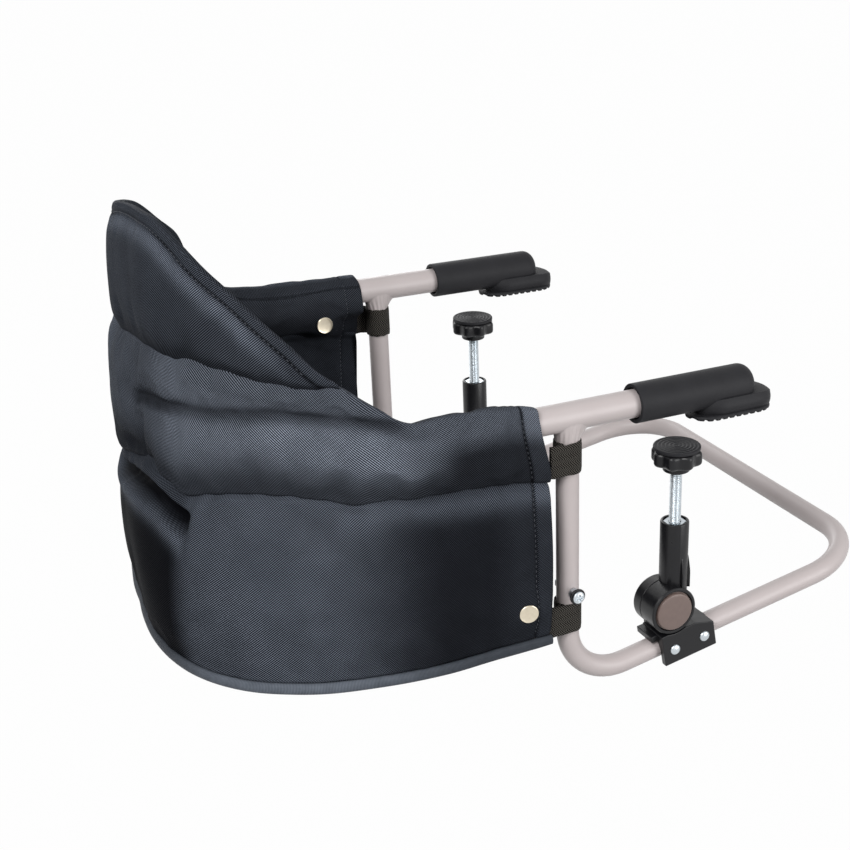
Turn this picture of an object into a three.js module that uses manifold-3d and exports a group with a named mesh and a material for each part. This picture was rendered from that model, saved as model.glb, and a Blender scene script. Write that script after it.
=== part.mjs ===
// Hook-on chair: a sewn bucket seat on two bent tubes, held to an edge by two rubber feet that rest
// on top and two screw clamps that press up from below.
// Millimetres. +X points forwards, +Y to the sitter's left, +Z up. The origin lies on the upper edge
// that the chair hangs from, midway between the arms, level with the soles of the feet.
import * as THREE from "three";
import { mergeVertices } from "three/addons/utils/BufferGeometryUtils.js";
import Module from "manifold-3d";

const wasm = await Module();
wasm.setup();

// Fits and roundness
const CLEARANCE = 0.3;
const TUBE_SIDES = 12;
const ROUND_SIDES = 16;
const HUB_SIDES = 24;
const SMALL_SIDES = 8;
const ARM_BEND_STEPS = 10; // facets in a quarter turn of the upper tube and of the wall sewn round it
const LOWER_BEND_STEPS = 6; // facets in a quarter turn of the lower tube
const THROUGH = 200; // length of a cutting tool that has to pass right through
const DOME_SHARES = [[0, 1], [0.65, 0.8], [1, 0.25], [1, 0]]; // of a head's radius and height

// Upper tube: two arms and the run behind the sitter's back
const ARM_SPACING = 371;
const ARM_DIAMETER = 22;
const ARM_HEIGHT = 21; // arm axis above the soles
const ARM_FRONT_X = 95;
const ARM_BACK_X = -325;
const ARM_BEND_RADIUS = 160;
const TUBE_WALL = 1.5;

// Lower tube: two posts, two runs that reach forwards and the bar that joins them
const POST_DIAMETER = 18;
const POST_X = -65;
const POST_BEND_RADIUS = 44;
const LOWER_DROP = 200.8; // axis of a run below the soles, measured at the origin
const LOWER_RISE = THREE.MathUtils.degToRad(9.8);
const LOWER_FRONT_X = 235;
const LOWER_FRONT_RADIUS = 60;
const WELD_HEIGHT = 7;
const WELD_FLARE = 3.5;

// Rubber grip with its foot
const GRIP_REAR_X = -13;
const GRIP_WALL = 4.2;
const GRIP_NOSE = 8; // solid rubber ahead of the tube's end
const GRIP_ROUND = 8;
const GRIP_ROUND_STEPS = 4;
const FOOT_REAR_X = 42;
const FOOT_LENGTH = 76;
const FOOT_WIDTH = 37;
const FOOT_HEIGHT = 15;
const FOOT_ROUND = 5;
const TREAD_PITCH = 6.4;
const TREAD_GROOVE = 2.2;
const TREAD_DEPTH = 2;

// Clamp bracket, a saddle riveted over a lower run
const BRACKET_X = 41.5;
const BRACKET_LENGTH = 50;
const BRACKET_WIDTH = 31;
const BRACKET_SKIRT = 12.5; // below the run's axis
const BRACKET_CROWN = 16; // above the run's axis
const BRACKET_NOSE_DROP = 6;
const BRACKET_NOSE_LENGTH = 17;
const RIVET_SPACING = 28.8;
const RIVET_DIAMETER = 5;
const RIVET_HEAD_DIAMETER = 9;
const RIVET_HEAD_HEIGHT = 2;

// Clamp hub, where the clamp arm swings and locks
const HUB_RISE = 36; // above the run's axis
const HUB_SETBACK = 10.5; // behind the bracket's middle
const HUB_RADIUS = 20.5;
const HUB_GAP = 1; // between the hub and the saddle below it
const HUB_WIDTH = 32;
const HUB_FIXED_WIDTH = 12; // the half that belongs to the bracket
const HUB_FLOOR = 4;
const HUB_WEB = 3;
const HUB_NECK_WIDTH = 26;
const GEAR_RADIUS = 12.8;
const GEAR_TOOTH = 1.6;
const GEAR_TEETH = 12;
const GEAR_THICKNESS = 10;
const PIN_DIAMETER = 6;
const PIN_HEAD_DIAMETER = 13;
const PIN_HEAD_HEIGHT = 2;
const PIN_CHAMFER = 1;
const PIN_NUT_WIDTH = 10;
const PIN_NUT_HEIGHT = 3;
const SPRING_RADIUS = 6;
const SPRING_WIRE = 1;
const SPRING_TURNS = 2.5;
const SPRING_WIRE_SIDES = 5;

// Release button in the hub's outer face
const BUTTON_ROOM = 8;
const BUTTON_RADIUS = 14;
const BUTTON_PROUD = 1.5;
const BUTTON_TOP = 2;
const BUTTON_SKIRT = 2;
const BUTTON_GROOVE = 2;
const BUTTON_FLANGE = 1; // under the lip
const BUTTON_TRAVEL = 3.5;
const BUTTON_LIP = 1.5;
const BUTTON_CHAMFER = 1;
const LEG_DIAMETER = 3.6;
const LEG_CIRCLE_RADIUS = 9.3;
const LEG_COUNT = 3;

// Clamp arm, screw and pad
const SLEEVE_OFFSET = 8; // screw axis ahead of the hub's centre
const SLEEVE_DIAMETER = 23.5;
const SLEEVE_RISE = 74; // sleeve top above the hub's centre
const SCREW_DIAMETER = 10;
const SCREW_ENGAGED = 16; // length of screw below the sleeve's top
const SCREW_LOWERING = 35;
const SCREW_SPARE = 1; // left below the screw when it is right down
const NUT_WIDTH = 16;
const NUT_HEIGHT = 8;
const NUT_RECESS = 1;
const TABLE_THICKNESS = 21;
const PAD_DIAMETER = 38;
const PAD_THICKNESS = 3;
const WHEEL_DIAMETER = 41;
const WHEEL_THICKNESS = 12;
const WHEEL_COVER = 2; // over the screw's end
const WHEEL_LOBES = 8;
const WHEEL_LOBE_DEPTH = 2.4;
const WHEEL_LOBE_STEPS = 6;
const WHEEL_BOSS_DIAMETER = 22;
const WHEEL_BOSS_HEIGHT = 3;
const SPIGOT_DIAMETER = 8;
const SPIGOT_LENGTH = 1.6;

// Screw through each post that stops the lower strap
const STOP_RISE = 89; // above the run's axis at the post
const STOP_DIAMETER = 5;
const STOP_SPACER_DIAMETER = 9;
const STOP_SPACER_LENGTH = 6;
const STOP_WASHER_DIAMETER = 13;
const STOP_WASHER_THICKNESS = 1.5;
const STOP_HEAD_DIAMETER = 10;
const STOP_HEAD_HEIGHT = 3.2;
const STOP_NUT_WIDTH = 8;
const STOP_NUT_HEIGHT = 4;
const STOP_END = 1; // screw past its nut

// Webbing straps that tie the seat to the posts
const STRAP_WIDTH = 25;
const STRAP_THICKNESS = 1.6;
const STRAP_TAIL = 45;
const UPPER_STRAP_GAP = 7; // below the arm
const LOWER_STRAP_GAP = 2.5; // below the stop's washer

// Sewn seat: heights above the soles, offsets outwards from the arm's axis
const SEAT_FRONT_X = -85;
const SIDE_TOP = 37;
const BACK_SEAM = 84;
const BACK_SEAM_FLAT = 130; // along the wall from mid back to where the seam starts down
const BACK_TOP = 169;
const BACK_SEAM_REACH = 300; // along the wall from mid back to where the seam has come down
const BACK_SHOULDER_DISTANCE = 74; // along the wall from mid back to where the top edge turns down
const BACK_SHOULDER_ROUND = 25;
const BACK_SLOPE = 0.733;
const BACK_END = 232; // along the wall from mid back to where the upper back stops
const BACK_THICKNESS = 13;
const BACK_LEAN = 0.17;
// Share of the upper back's height, and of its thickness there.
const BACK_SWELL = [[0, 0.55], [0.12, 0.9], [0.4, 1], [0.75, 0.85], [0.94, 0.6], [1, 0.35]];
const SKIRT_SEAM_HEIGHT = -17;
const SKIRT_SEAM_DIP = 9; // lower at the front edge
const SKIRT_SEAM_FLAT = 250; // along the wall from mid back to where the dip starts
const SKIRT_REAR_DIP = 13; // lower at mid back
const SKIRT_REAR_WIDTH = 60;
const SKIRT_SEAM_OFFSET = 11;
const SKIRT_THICKNESS = 4;
const SKIRT_BULGE = 6;
const SKIRT_STEPS = 4; // facets from hem to seam
const BAND_PUFF = 18; // half thickness of the padded band
const BAND_CREST_OFFSET = 7; // of the seam along the band's top
const BAND_SLEEVE_GAP = 0.4;
const BAND_POINTS = 12; // round the band's section
const BAND_FULLNESS = 0.6; // 1 is an ellipse, less is squarer
const HEM_BELOW_STOP = 39; // the lower straps hold the hem to the posts' stops
const HEM_HEIGHT = 9;
const HEM_THICKNESS = 5;
const HEM_SIDE_OFFSET = 15.5;
const HEM_SIDE_DISTANCE = 260; // along the wall from mid back to where the hem is straight
const HEM_BACK_OFFSET = 26;
const HEM_CORNER_OFFSET = 9;
const HEM_CORNER_DISTANCE = 115; // along the wall from mid back
const HEM_CORNER_WIDTH = 55;
const FOLD_DISTANCE = 82; // along the wall from mid back
const FOLD_WIDTH = 14;
const FOLD_DEPTH = 5;
const FLOOR_THICKNESS = 2.5;
const BOARD_THICKNESS = 5;
const BOARD_INSET = 6;
const CUSHION_THICKNESS = 18;
// Share of the cushion's outline, and of its thickness there.
const CUSHION_SWELL = [[0.955, 0], [1, 0.32], [0.965, 0.78], [0.8, 0.9], [0.45, 1]];
const CUSHION_INSET = 10;
const SIDE_STEPS = 4; // sections on the straight of each side

// Press studs
const STUD_CAP_DIAMETER = 15;
const STUD_CAP_HEIGHT = 1.8;
const STUD_SHANK_DIAMETER = 4;
const STUD_BACK_DIAMETER = 10;
const LOWER_STUD_X = -107;
const LOWER_STUD_RISE = 37; // above the hem
const UPPER_STUD_X = -124;
const UPPER_STUD_HEIGHT = 0;
const UPPER_STUD_DEPTH = 5;

const HALF_SPACING = ARM_SPACING / 2;
const ARM_RADIUS = ARM_DIAMETER / 2;
const POST_RADIUS = POST_DIAMETER / 2;
// The two bends always leave a short straight between them.
const ARM_BEND = Math.min(ARM_BEND_RADIUS, HALF_SPACING - ARM_RADIUS);

const finish = (color, roughness, metalness) =>
  new THREE.MeshStandardMaterial({ color, roughness, metalness });
const POWDER_COAT = finish(0xc3b6b4, 0.4, 0.1);
const RUBBER = finish(0x202124, 0.75, 0);
const BLACK_PLASTIC = finish(0x17181a, 0.35, 0);
const TAUPE_PLASTIC = finish(0x5d5350, 0.45, 0);
const ZINC = finish(0xb9bdc0, 0.35, 0.9);
const NICKEL = finish(0xcfc6b4, 0.3, 0.9);
const FABRIC = finish(0x23262e, 0.8, 0);
const WEBBING = finish(0x151517, 0.85, 0);
const BOARD = finish(0x4a4138, 0.8, 0);

// Keep only positions, merge shared corners, drop flat triangles and make the faces point outwards.
function closed(geometry) {
  const bare = new THREE.BufferGeometry();
  bare.setAttribute("position", geometry.getAttribute("position"));
  bare.setIndex(geometry.index);
  const merged = mergeVertices(bare, 1e-4);
  const place = merged.getAttribute("position");
  const corner = [0, 1, 2].map(() => new THREE.Vector3());
  const kept = [];
  let volume = 0;
  for (let i = 0; i < merged.index.count; i += 3) {
    const ids = [0, 1, 2].map((k) => merged.index.getX(i + k));
    if (new Set(ids).size < 3) continue;
    corner.forEach((c, k) => c.fromBufferAttribute(place, ids[k]));
    volume += corner[0].dot(corner[1].clone().cross(corner[2]));
    kept.push(...ids);
  }
  merged.setIndex(volume < 0 ? kept.reverse() : kept);
  return merged;
}

function toSolid(geometry) {
  const mesh = closed(geometry);
  return new wasm.Manifold(
    new wasm.Mesh({
      numProp: 3,
      vertProperties: mesh.getAttribute("position").array,
      triVerts: new Uint32Array(mesh.index.array),
    }),
  );
}

function toGeometry(solid) {
  const mesh = solid.getMesh();
  const geometry = new THREE.BufferGeometry();
  geometry.setAttribute("position", new THREE.BufferAttribute(mesh.vertProperties, 3));
  geometry.setIndex(new THREE.BufferAttribute(mesh.triVerts, 1));
  return geometry;
}

const join = (...pieces) => toGeometry(pieces.map(toSolid).reduce((a, b) => a.add(b)));
const cut = (piece, ...tools) =>
  toGeometry(tools.map(toSolid).reduce((a, b) => a.subtract(b), toSolid(piece)));

// A round bar along one axis, between two places on it.
function bar(axis, radius, from, to, sides = ROUND_SIDES) {
  const geometry = new THREE.CylinderGeometry(radius, radius, Math.abs(to - from), sides);
  if (axis === "x") geometry.rotateZ(-Math.PI / 2);
  if (axis === "z") geometry.rotateX(Math.PI / 2);
  const middle = (from + to) / 2;
  return geometry.translate(
    axis === "x" ? middle : 0,
    axis === "y" ? middle : 0,
    axis === "z" ? middle : 0,
  );
}

// A box between two corners.
function block(low, high) {
  const size = high.map((v, i) => v - low[i]);
  const middle = high.map((v, i) => (v + low[i]) / 2);
  return new THREE.BoxGeometry(...size).translate(...middle);
}

// A turned form about Y, from [radius, height] pairs.
const turned = (profile, sides = ROUND_SIDES) =>
  new THREE.LatheGeometry(profile.map(([r, y]) => new THREE.Vector2(r, y)), sides);

// A hexagon bar along Y, given its width across the flats.
function hexagon(width, from, to) {
  const radius = width / 2 / Math.cos(Math.PI / 6);
  return new THREE.CylinderGeometry(radius, radius, to - from, 6).translate(0, (from + to) / 2, 0);
}

// A flat outline in X and Z, carried along Y.
function plate(shape, from, to) {
  return new THREE.ExtrudeGeometry(shape, { depth: to - from, bevelEnabled: false, curveSegments: 12 })
    .rotateX(Math.PI / 2)
    .translate(0, to, 0);
}

// The points of a path through corners, with an arc of the given radius at each inner corner.
function roundedPath(corners, radii, quarterSteps) {
  const points = [corners[0].clone()];
  for (let i = 1; i < corners.length - 1; i++) {
    const into = corners[i].clone().sub(corners[i - 1]).normalize();
    const out = corners[i + 1].clone().sub(corners[i]).normalize();
    const turn = into.angleTo(out);
    const reach = radii[i - 1] * Math.tan(turn / 2);
    const start = corners[i].clone().addScaledVector(into, -reach);
    const inward = out.clone().addScaledVector(into, -out.dot(into)).normalize();
    const centre = start.clone().addScaledVector(inward, radii[i - 1]);
    const steps = Math.round((quarterSteps * turn) / (Math.PI / 2));
    for (let k = 0; k <= steps; k++) {
      const angle = (turn * k) / steps;
      points.push(
        centre
          .clone()
          .addScaledVector(inward, -radii[i - 1] * Math.cos(angle))
          .addScaledVector(into, radii[i - 1] * Math.sin(angle)),
      );
    }
  }
  points.push(corners.at(-1).clone());
  return points;
}

// Rings of points joined into one closed skin. Each ring is a closed loop; inner, if given, is the
// matching loop of a bore, and the two ends are closed by a band between them or by a fan.
function loft(outer, inner) {
  const position = [];
  const index = [];
  const place = (rings) =>
    rings.map((ring) =>
      ring.map((p) => {
        position.push(p.x, p.y, p.z);
        return position.length / 3 - 1;
      }),
    );
  const quad = (a, b, c, d) => index.push(a, b, c, a, c, d);
  const skin = (rings, flip) => {
    for (let i = 0; i + 1 < rings.length; i++) {
      const n = rings[i].length;
      for (let k = 0; k < n; k++) {
        const m = (k + 1) % n;
        const face = [rings[i][k], rings[i][m], rings[i + 1][m], rings[i + 1][k]];
        quad(...(flip ? face.reverse() : face));
      }
    }
  };
  const shell = place(outer);
  skin(shell, false);
  if (inner) {
    const bore = place(inner);
    skin(bore, true);
    for (const [end, flip] of [[0, false], [shell.length - 1, true]]) {
      const n = shell[end].length;
      for (let k = 0; k < n; k++) {
        const m = (k + 1) % n;
        const face = [shell[end][m], shell[end][k], bore[end][k], bore[end][m]];
        quad(...(flip ? face.reverse() : face));
      }
    }
  } else {
    // A loop that runs up one side and down the other closes as a ladder between its two sides.
    for (const [end, flip] of [[0, false], [shell.length - 1, true]]) {
      const loop = shell[end];
      for (let k = 0; 2 * k + 2 < loop.length; k++) {
        const face = [loop[k + 1], loop[k], loop[loop.length - 1 - k], loop[loop.length - 2 - k]];
        quad(...(flip ? face.reverse() : face));
      }
    }
  }
  const geometry = new THREE.BufferGeometry();
  geometry.setAttribute("position", new THREE.Float32BufferAttribute(position, 3));
  geometry.setIndex(index);
  return geometry;
}

// A tube along points, with a wall, or solid where no wall is given.
function pipe(points, radius, wall, sides = TUBE_SIDES) {
  const tangents = points.map((p, i) =>
    (points[i + 1] ?? p).clone().sub(points[i - 1] ?? p).normalize(),
  );
  const up = Math.abs(tangents[0].z) < 0.9 ? new THREE.Vector3(0, 0, 1) : new THREE.Vector3(1, 0, 0);
  let across = up.cross(tangents[0]).normalize();
  const frames = tangents.map((t, i) => {
    if (i > 0) {
      across = across
        .clone()
        .applyQuaternion(new THREE.Quaternion().setFromUnitVectors(tangents[i - 1], t));
    }
    return [across, t.clone().cross(across)];
  });
  const rings = (r) =>
    points.map((p, i) =>
      Array.from({ length: sides }, (_, k) => {
        const angle = (2 * Math.PI * k) / sides;
        return p
          .clone()
          .addScaledVector(frames[i][0], r * Math.cos(angle))
          .addScaledVector(frames[i][1], r * Math.sin(angle));
      }),
    );
  return loft(rings(radius), wall ? rings(radius - wall) : undefined);
}

const chair = new THREE.Group();

function add(group, name, geometry, material) {
  const mesh = new THREE.Mesh(closed(geometry), material);
  mesh.name = name;
  group.add(mesh);
  return mesh;
}

// The two tubes of the frame

const lowerHeight = (x) => -LOWER_DROP + Math.tan(LOWER_RISE) * x;

function armTube() {
  const z = ARM_HEIGHT;
  const corners = [
    new THREE.Vector3(ARM_FRONT_X, -HALF_SPACING, z),
    new THREE.Vector3(ARM_BACK_X, -HALF_SPACING, z),
    new THREE.Vector3(ARM_BACK_X, HALF_SPACING, z),
    new THREE.Vector3(ARM_FRONT_X, HALF_SPACING, z),
  ];
  const path = roundedPath(corners, [ARM_BEND, ARM_BEND], ARM_BEND_STEPS);
  return pipe(path, ARM_RADIUS, TUBE_WALL);
}

// Places of a clamp's rivets along a run, as X and Z.
const runAlong = new THREE.Vector2(Math.cos(LOWER_RISE), Math.sin(LOWER_RISE));
const bracketPlace = new THREE.Vector2(BRACKET_X, lowerHeight(BRACKET_X));
const stopHeight = lowerHeight(POST_X) + STOP_RISE;
const rivetPlaces = [-0.5, 0.5].map((k) =>
  bracketPlace.clone().addScaledVector(runAlong, k * RIVET_SPACING),
);

function weldCollar() {
  const top = ARM_HEIGHT - ARM_RADIUS - WELD_HEIGHT;
  const bite = POST_RADIUS - TUBE_WALL / 2;
  return turned([
    [bite, top],
    [POST_RADIUS, top],
    [POST_RADIUS + WELD_FLARE, ARM_HEIGHT],
    [bite, ARM_HEIGHT],
    [bite, top],
  ], TUBE_SIDES).rotateX(Math.PI / 2);
}

function lowerTube() {
  const corner = (x, side) => new THREE.Vector3(x, side * HALF_SPACING, lowerHeight(x));
  const top = (side) => new THREE.Vector3(POST_X, side * HALF_SPACING, ARM_HEIGHT);
  const path = roundedPath(
    [
      top(-1),
      corner(POST_X, -1),
      corner(LOWER_FRONT_X, -1),
      corner(LOWER_FRONT_X, 1),
      corner(POST_X, 1),
      top(1),
    ],
    [POST_BEND_RADIUS, LOWER_FRONT_RADIUS, LOWER_FRONT_RADIUS, POST_BEND_RADIUS],
    LOWER_BEND_STEPS,
  );
  const collars = [-1, 1].map((side) => weldCollar().translate(POST_X, side * HALF_SPACING, 0));
  const tools = [];
  for (const side of [-1, 1]) {
    tools.push(
      bar("x", ARM_RADIUS + CLEARANCE, -THROUGH, THROUGH, TUBE_SIDES * 2)
        .translate(POST_X, side * HALF_SPACING, ARM_HEIGHT),
    );
  }
  const reach = HALF_SPACING + THROUGH;
  const hole = (radius, x, z) =>
    bar("y", radius + CLEARANCE, -reach, reach, SMALL_SIDES).translate(x, 0, z);
  rivetPlaces.forEach((p) => tools.push(hole(RIVET_DIAMETER / 2, p.x, p.y)));
  tools.push(hole(STOP_DIAMETER / 2, POST_X, stopHeight));
  return cut(join(pipe(path, POST_RADIUS, TUBE_WALL), ...collars), ...tools);
}

add(chair, "arm_tube", armTube(), POWDER_COAT);
add(chair, "lower_tube", lowerTube(), POWDER_COAT);

// The sewn seat. A place on its wall is the length along the arm's axis from mid back, positive to
// the sitter's left, an offset outwards from that axis, and a height.

const BACK_HALF = HALF_SPACING - ARM_BEND;
const BEND_LENGTH = (ARM_BEND * Math.PI) / 2;
const BEND_X = ARM_BACK_X + ARM_BEND;
const WALL_FRONT = BACK_HALF + BEND_LENGTH + (SEAT_FRONT_X - BEND_X);

function wallPoint(along, offset, z) {
  const side = along < 0 ? -1 : 1;
  const length = Math.abs(along);
  if (length <= BACK_HALF) return new THREE.Vector3(ARM_BACK_X - offset, along, z);
  const turn = Math.min(length - BACK_HALF, BEND_LENGTH) / ARM_BEND;
  const radius = ARM_BEND + offset;
  const straight = Math.max(0, length - BACK_HALF - BEND_LENGTH);
  return new THREE.Vector3(
    BEND_X - radius * Math.cos(turn) + straight,
    side * (BACK_HALF + radius * Math.sin(turn)),
    z,
  );
}

const hump = (value, middle, spread) => Math.exp(-(((value - middle) / spread) ** 2));
const bandTop = (s) =>
  THREE.MathUtils.lerp(
    BACK_SEAM,
    SIDE_TOP,
    THREE.MathUtils.smoothstep(Math.abs(s), BACK_SEAM_FLAT, BACK_SEAM_REACH),
  );

// Level over the back, then a straight slope, with a rounded shoulder between.
function backTop(s) {
  const past = Math.abs(s) - BACK_SHOULDER_DISTANCE;
  const round = BACK_SHOULDER_ROUND;
  const run = past > round ? past : Math.max(0, past + round) ** 2 / (4 * round);
  return BACK_TOP - BACK_SLOPE * run;
}

function skirtSeam(s) {
  const share = Math.max(0, Math.abs(s) - SKIRT_SEAM_FLAT) / (WALL_FRONT - SKIRT_SEAM_FLAT);
  return SKIRT_SEAM_HEIGHT - SKIRT_SEAM_DIP * share ** 2 - SKIRT_REAR_DIP * hump(s, 0, SKIRT_REAR_WIDTH);
}

function hemOffset(s) {
  const toSide = THREE.MathUtils.smoothstep(Math.abs(s), HEM_CORNER_DISTANCE, HEM_SIDE_DISTANCE);
  const base = THREE.MathUtils.lerp(HEM_BACK_OFFSET, HEM_SIDE_OFFSET, toSide);
  return base + HEM_CORNER_OFFSET * hump(Math.abs(s), HEM_CORNER_DISTANCE, HEM_CORNER_WIDTH);
}

// Places of the wall's sections out to a reach: the tube's own bend steps, so that both have the same
// facets, and a few on the straights.
function stations(reach) {
  const marks = [BACK_HALF / 3];
  for (let k = 0; k <= ARM_BEND_STEPS; k++) {
    marks.push(BACK_HALF + (BEND_LENGTH * k) / ARM_BEND_STEPS);
  }
  const straight = WALL_FRONT - BACK_HALF - BEND_LENGTH;
  for (let k = 1; k < SIDE_STEPS; k++) {
    marks.push(BACK_HALF + BEND_LENGTH + (straight * k) / SIDE_STEPS);
  }
  const half = [...marks.filter((s) => s < reach - 1), reach];
  return [...half.map((s) => -s).reverse(), ...half];
}

// The wall between two sections given as [offset, height] loops, for each station.
const wall = (reach, section, bore) =>
  loft(
    stations(reach).map((s) => section(s).map(([d, z]) => wallPoint(s, d, z))),
    bore && stations(reach).map((s) => bore(s).map(([d, z]) => wallPoint(s, d, z))),
  );

// Padded band sewn round the arm's tube. Its loop is a puffed outline about the tube, and its bore
// is a circle with the same number of points.
function bandSection(s) {
  const low = skirtSeam(s) + CLEARANCE;
  const high = bandTop(s) - CLEARANCE;
  return Array.from({ length: BAND_POINTS }, (_, k) => {
    const angle = (2 * Math.PI * k) / BAND_POINTS;
    const rise = Math.sin(angle);
    const z = ARM_HEIGHT + rise * (rise > 0 ? high - ARM_HEIGHT : ARM_HEIGHT - low);
    const puff = Math.sign(Math.cos(angle)) * Math.abs(Math.cos(angle)) ** BAND_FULLNESS;
    return [BAND_PUFF * puff + BAND_CREST_OFFSET * Math.max(0, rise) ** 2, z];
  });
}

const bandBore = () =>
  Array.from({ length: BAND_POINTS }, (_, k) => {
    const angle = (2 * Math.PI * k) / BAND_POINTS;
    const radius = (ARM_RADIUS + BAND_SLEEVE_GAP) / Math.cos(Math.PI / BAND_POINTS);
    return [radius * Math.cos(angle), ARM_HEIGHT + radius * Math.sin(angle)];
  });

// Upper back above the band, leaning forwards and thinning to its top edge.
function backSection(s) {
  const low = bandTop(s) + CLEARANCE;
  const high = Math.max(backTop(s), low + BACK_THICKNESS / 4);
  const middle = (z) => BAND_CREST_OFFSET - BACK_LEAN * (z - low);
  const points = (sign) =>
    BACK_SWELL.map(([t, swell]) => {
      const z = low + t * (high - low);
      return [middle(z) + (sign * swell * BACK_THICKNESS) / 2, z];
    });
  return [...points(1), ...points(-1).reverse()];
}

// Skirt below the band: it bellies out between seam and hem, and is drawn into a fold at each rear corner.
const hemBottom = stopHeight - HEM_BELOW_STOP;
const skirtBottom = hemBottom + HEM_HEIGHT + CLEARANCE;

// Offset of the skirt's outer face, at a share of the height from hem to seam.
function skirtFace(s, t) {
  const fold = FOLD_DEPTH * hump(Math.abs(s), FOLD_DISTANCE, FOLD_WIDTH) * t * t;
  const lean = THREE.MathUtils.lerp(hemOffset(s), SKIRT_SEAM_OFFSET, t);
  return lean + SKIRT_BULGE * Math.sin(Math.PI * t) - fold;
}

function skirtSection(s) {
  const high = skirtSeam(s) - CLEARANCE;
  const levels = Array.from({ length: SKIRT_STEPS + 1 }, (_, k) => k / SKIRT_STEPS);
  const points = (inset) =>
    levels.map((t) => [skirtFace(s, t) - inset, THREE.MathUtils.lerp(skirtBottom, high, t)]);
  return [...points(0), ...points(SKIRT_THICKNESS).reverse()];
}

function hemSection(s) {
  const outer = hemOffset(s) + HEM_THICKNESS / 5;
  const inner = outer - HEM_THICKNESS;
  const top = hemBottom + HEM_HEIGHT;
  const round = HEM_THICKNESS / 4;
  return [
    [outer - round, hemBottom],
    [outer, hemBottom + round],
    [outer, top - round],
    [outer - round, top],
    [inner + round, top],
    [inner, top - round],
    [inner, hemBottom + round],
    [inner + round, hemBottom],
  ];
}

// The outline of the seat's floor, drawn in from the hem by an inset, as X and Y.
function floorOutline(inset) {
  return stations(WALL_FRONT).map((s) => {
    const p = wallPoint(s, hemOffset(s) + HEM_THICKNESS / 5 - HEM_THICKNESS - inset, 0);
    return new THREE.Vector2(p.x - (Math.abs(s) > WALL_FRONT - 1 ? inset : 0), p.y);
  });
}

function slab(inset, low, thickness) {
  const shape = new THREE.Shape(floorOutline(inset));
  return new THREE.ExtrudeGeometry(shape, { depth: thickness, bevelEnabled: false }).translate(0, 0, low);
}

// Seat cushion: drawn-in sides and a crown, as rings that shrink towards the middle.
function seatCushion(low) {
  const outline = floorOutline(CUSHION_INSET);
  const middle = new THREE.Vector2((SEAT_FRONT_X + ARM_BACK_X) / 2, 0);
  const ring = (share, z) =>
    outline.map((p) => {
      const q = p.clone().sub(middle).multiplyScalar(share).add(middle);
      return new THREE.Vector3(q.x, q.y, z);
    });
  return loft(CUSHION_SWELL.map(([share, rise]) => ring(share, low + rise * CUSHION_THICKNESS)));
}

const boardLow = hemBottom + FLOOR_THICKNESS + 2 * CLEARANCE;
const cushionLow = boardLow + BOARD_THICKNESS + CLEARANCE;

// Press stud: a domed cap, a shank and a back disc, along Y from the cap at zero down into the cloth.
const dome = (radius, height, base) =>
  DOME_SHARES.map(([across, up]) => [radius * across, base + height * up]);

const studProfile = (depth, backRadius) => [
  ...dome(STUD_CAP_DIAMETER / 2, STUD_CAP_HEIGHT, 0),
  [STUD_SHANK_DIAMETER / 2, 0],
  [STUD_SHANK_DIAMETER / 2, -depth],
  [backRadius, -depth],
  [backRadius, -depth - STUD_CAP_HEIGHT / 2],
  [0, -depth - STUD_CAP_HEIGHT / 2],
];

// The skirt's outer face where the lower stud sits.
const lowerStudHeight = hemBottom + LOWER_STUD_RISE;
const lowerStudAlong = WALL_FRONT - (SEAT_FRONT_X - LOWER_STUD_X);
const lowerStudShare =
  (lowerStudHeight - skirtBottom) / (skirtSeam(lowerStudAlong) - CLEARANCE - skirtBottom);
const lowerStudFace = skirtFace(lowerStudAlong, lowerStudShare);

// Holes for a stud's shank in both sides, between two offsets from the arm's axis.
const studHoles = (x, z, from, to) =>
  [-1, 1].map((side) =>
    bar("y", STUD_SHANK_DIAMETER / 2 + CLEARANCE, HALF_SPACING + from, HALF_SPACING + to, SMALL_SIDES)
      .scale(1, side, 1)
      .translate(x, 0, z),
  );
const lowerStudHoles = studHoles(LOWER_STUD_X, lowerStudHeight, -THROUGH / 4, THROUGH / 4);
const upperStudHoles = studHoles(
  UPPER_STUD_X,
  UPPER_STUD_HEIGHT,
  -BAND_PUFF - UPPER_STUD_DEPTH,
  -BAND_PUFF + UPPER_STUD_DEPTH + STUD_CAP_HEIGHT,
);

add(chair, "arm_band", cut(wall(WALL_FRONT, bandSection, bandBore), ...upperStudHoles), FABRIC);
add(chair, "upper_back", wall(BACK_END, backSection), FABRIC);
add(chair, "skirt", cut(wall(WALL_FRONT, skirtSection), ...lowerStudHoles), FABRIC);
add(chair, "hem_binding", wall(WALL_FRONT, hemSection), WEBBING);
add(chair, "floor_panel", slab(CLEARANCE, hemBottom + CLEARANCE, FLOOR_THICKNESS), FABRIC);
add(chair, "seat_board", slab(BOARD_INSET, boardLow, BOARD_THICKNESS), BOARD);
add(chair, "seat_cushion", seatCushion(cushionLow), FABRIC);

// Pieces that each side has. A side's own Y points outwards from the arm.

const gripRadius = ARM_RADIUS + CLEARANCE + GRIP_WALL;

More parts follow.
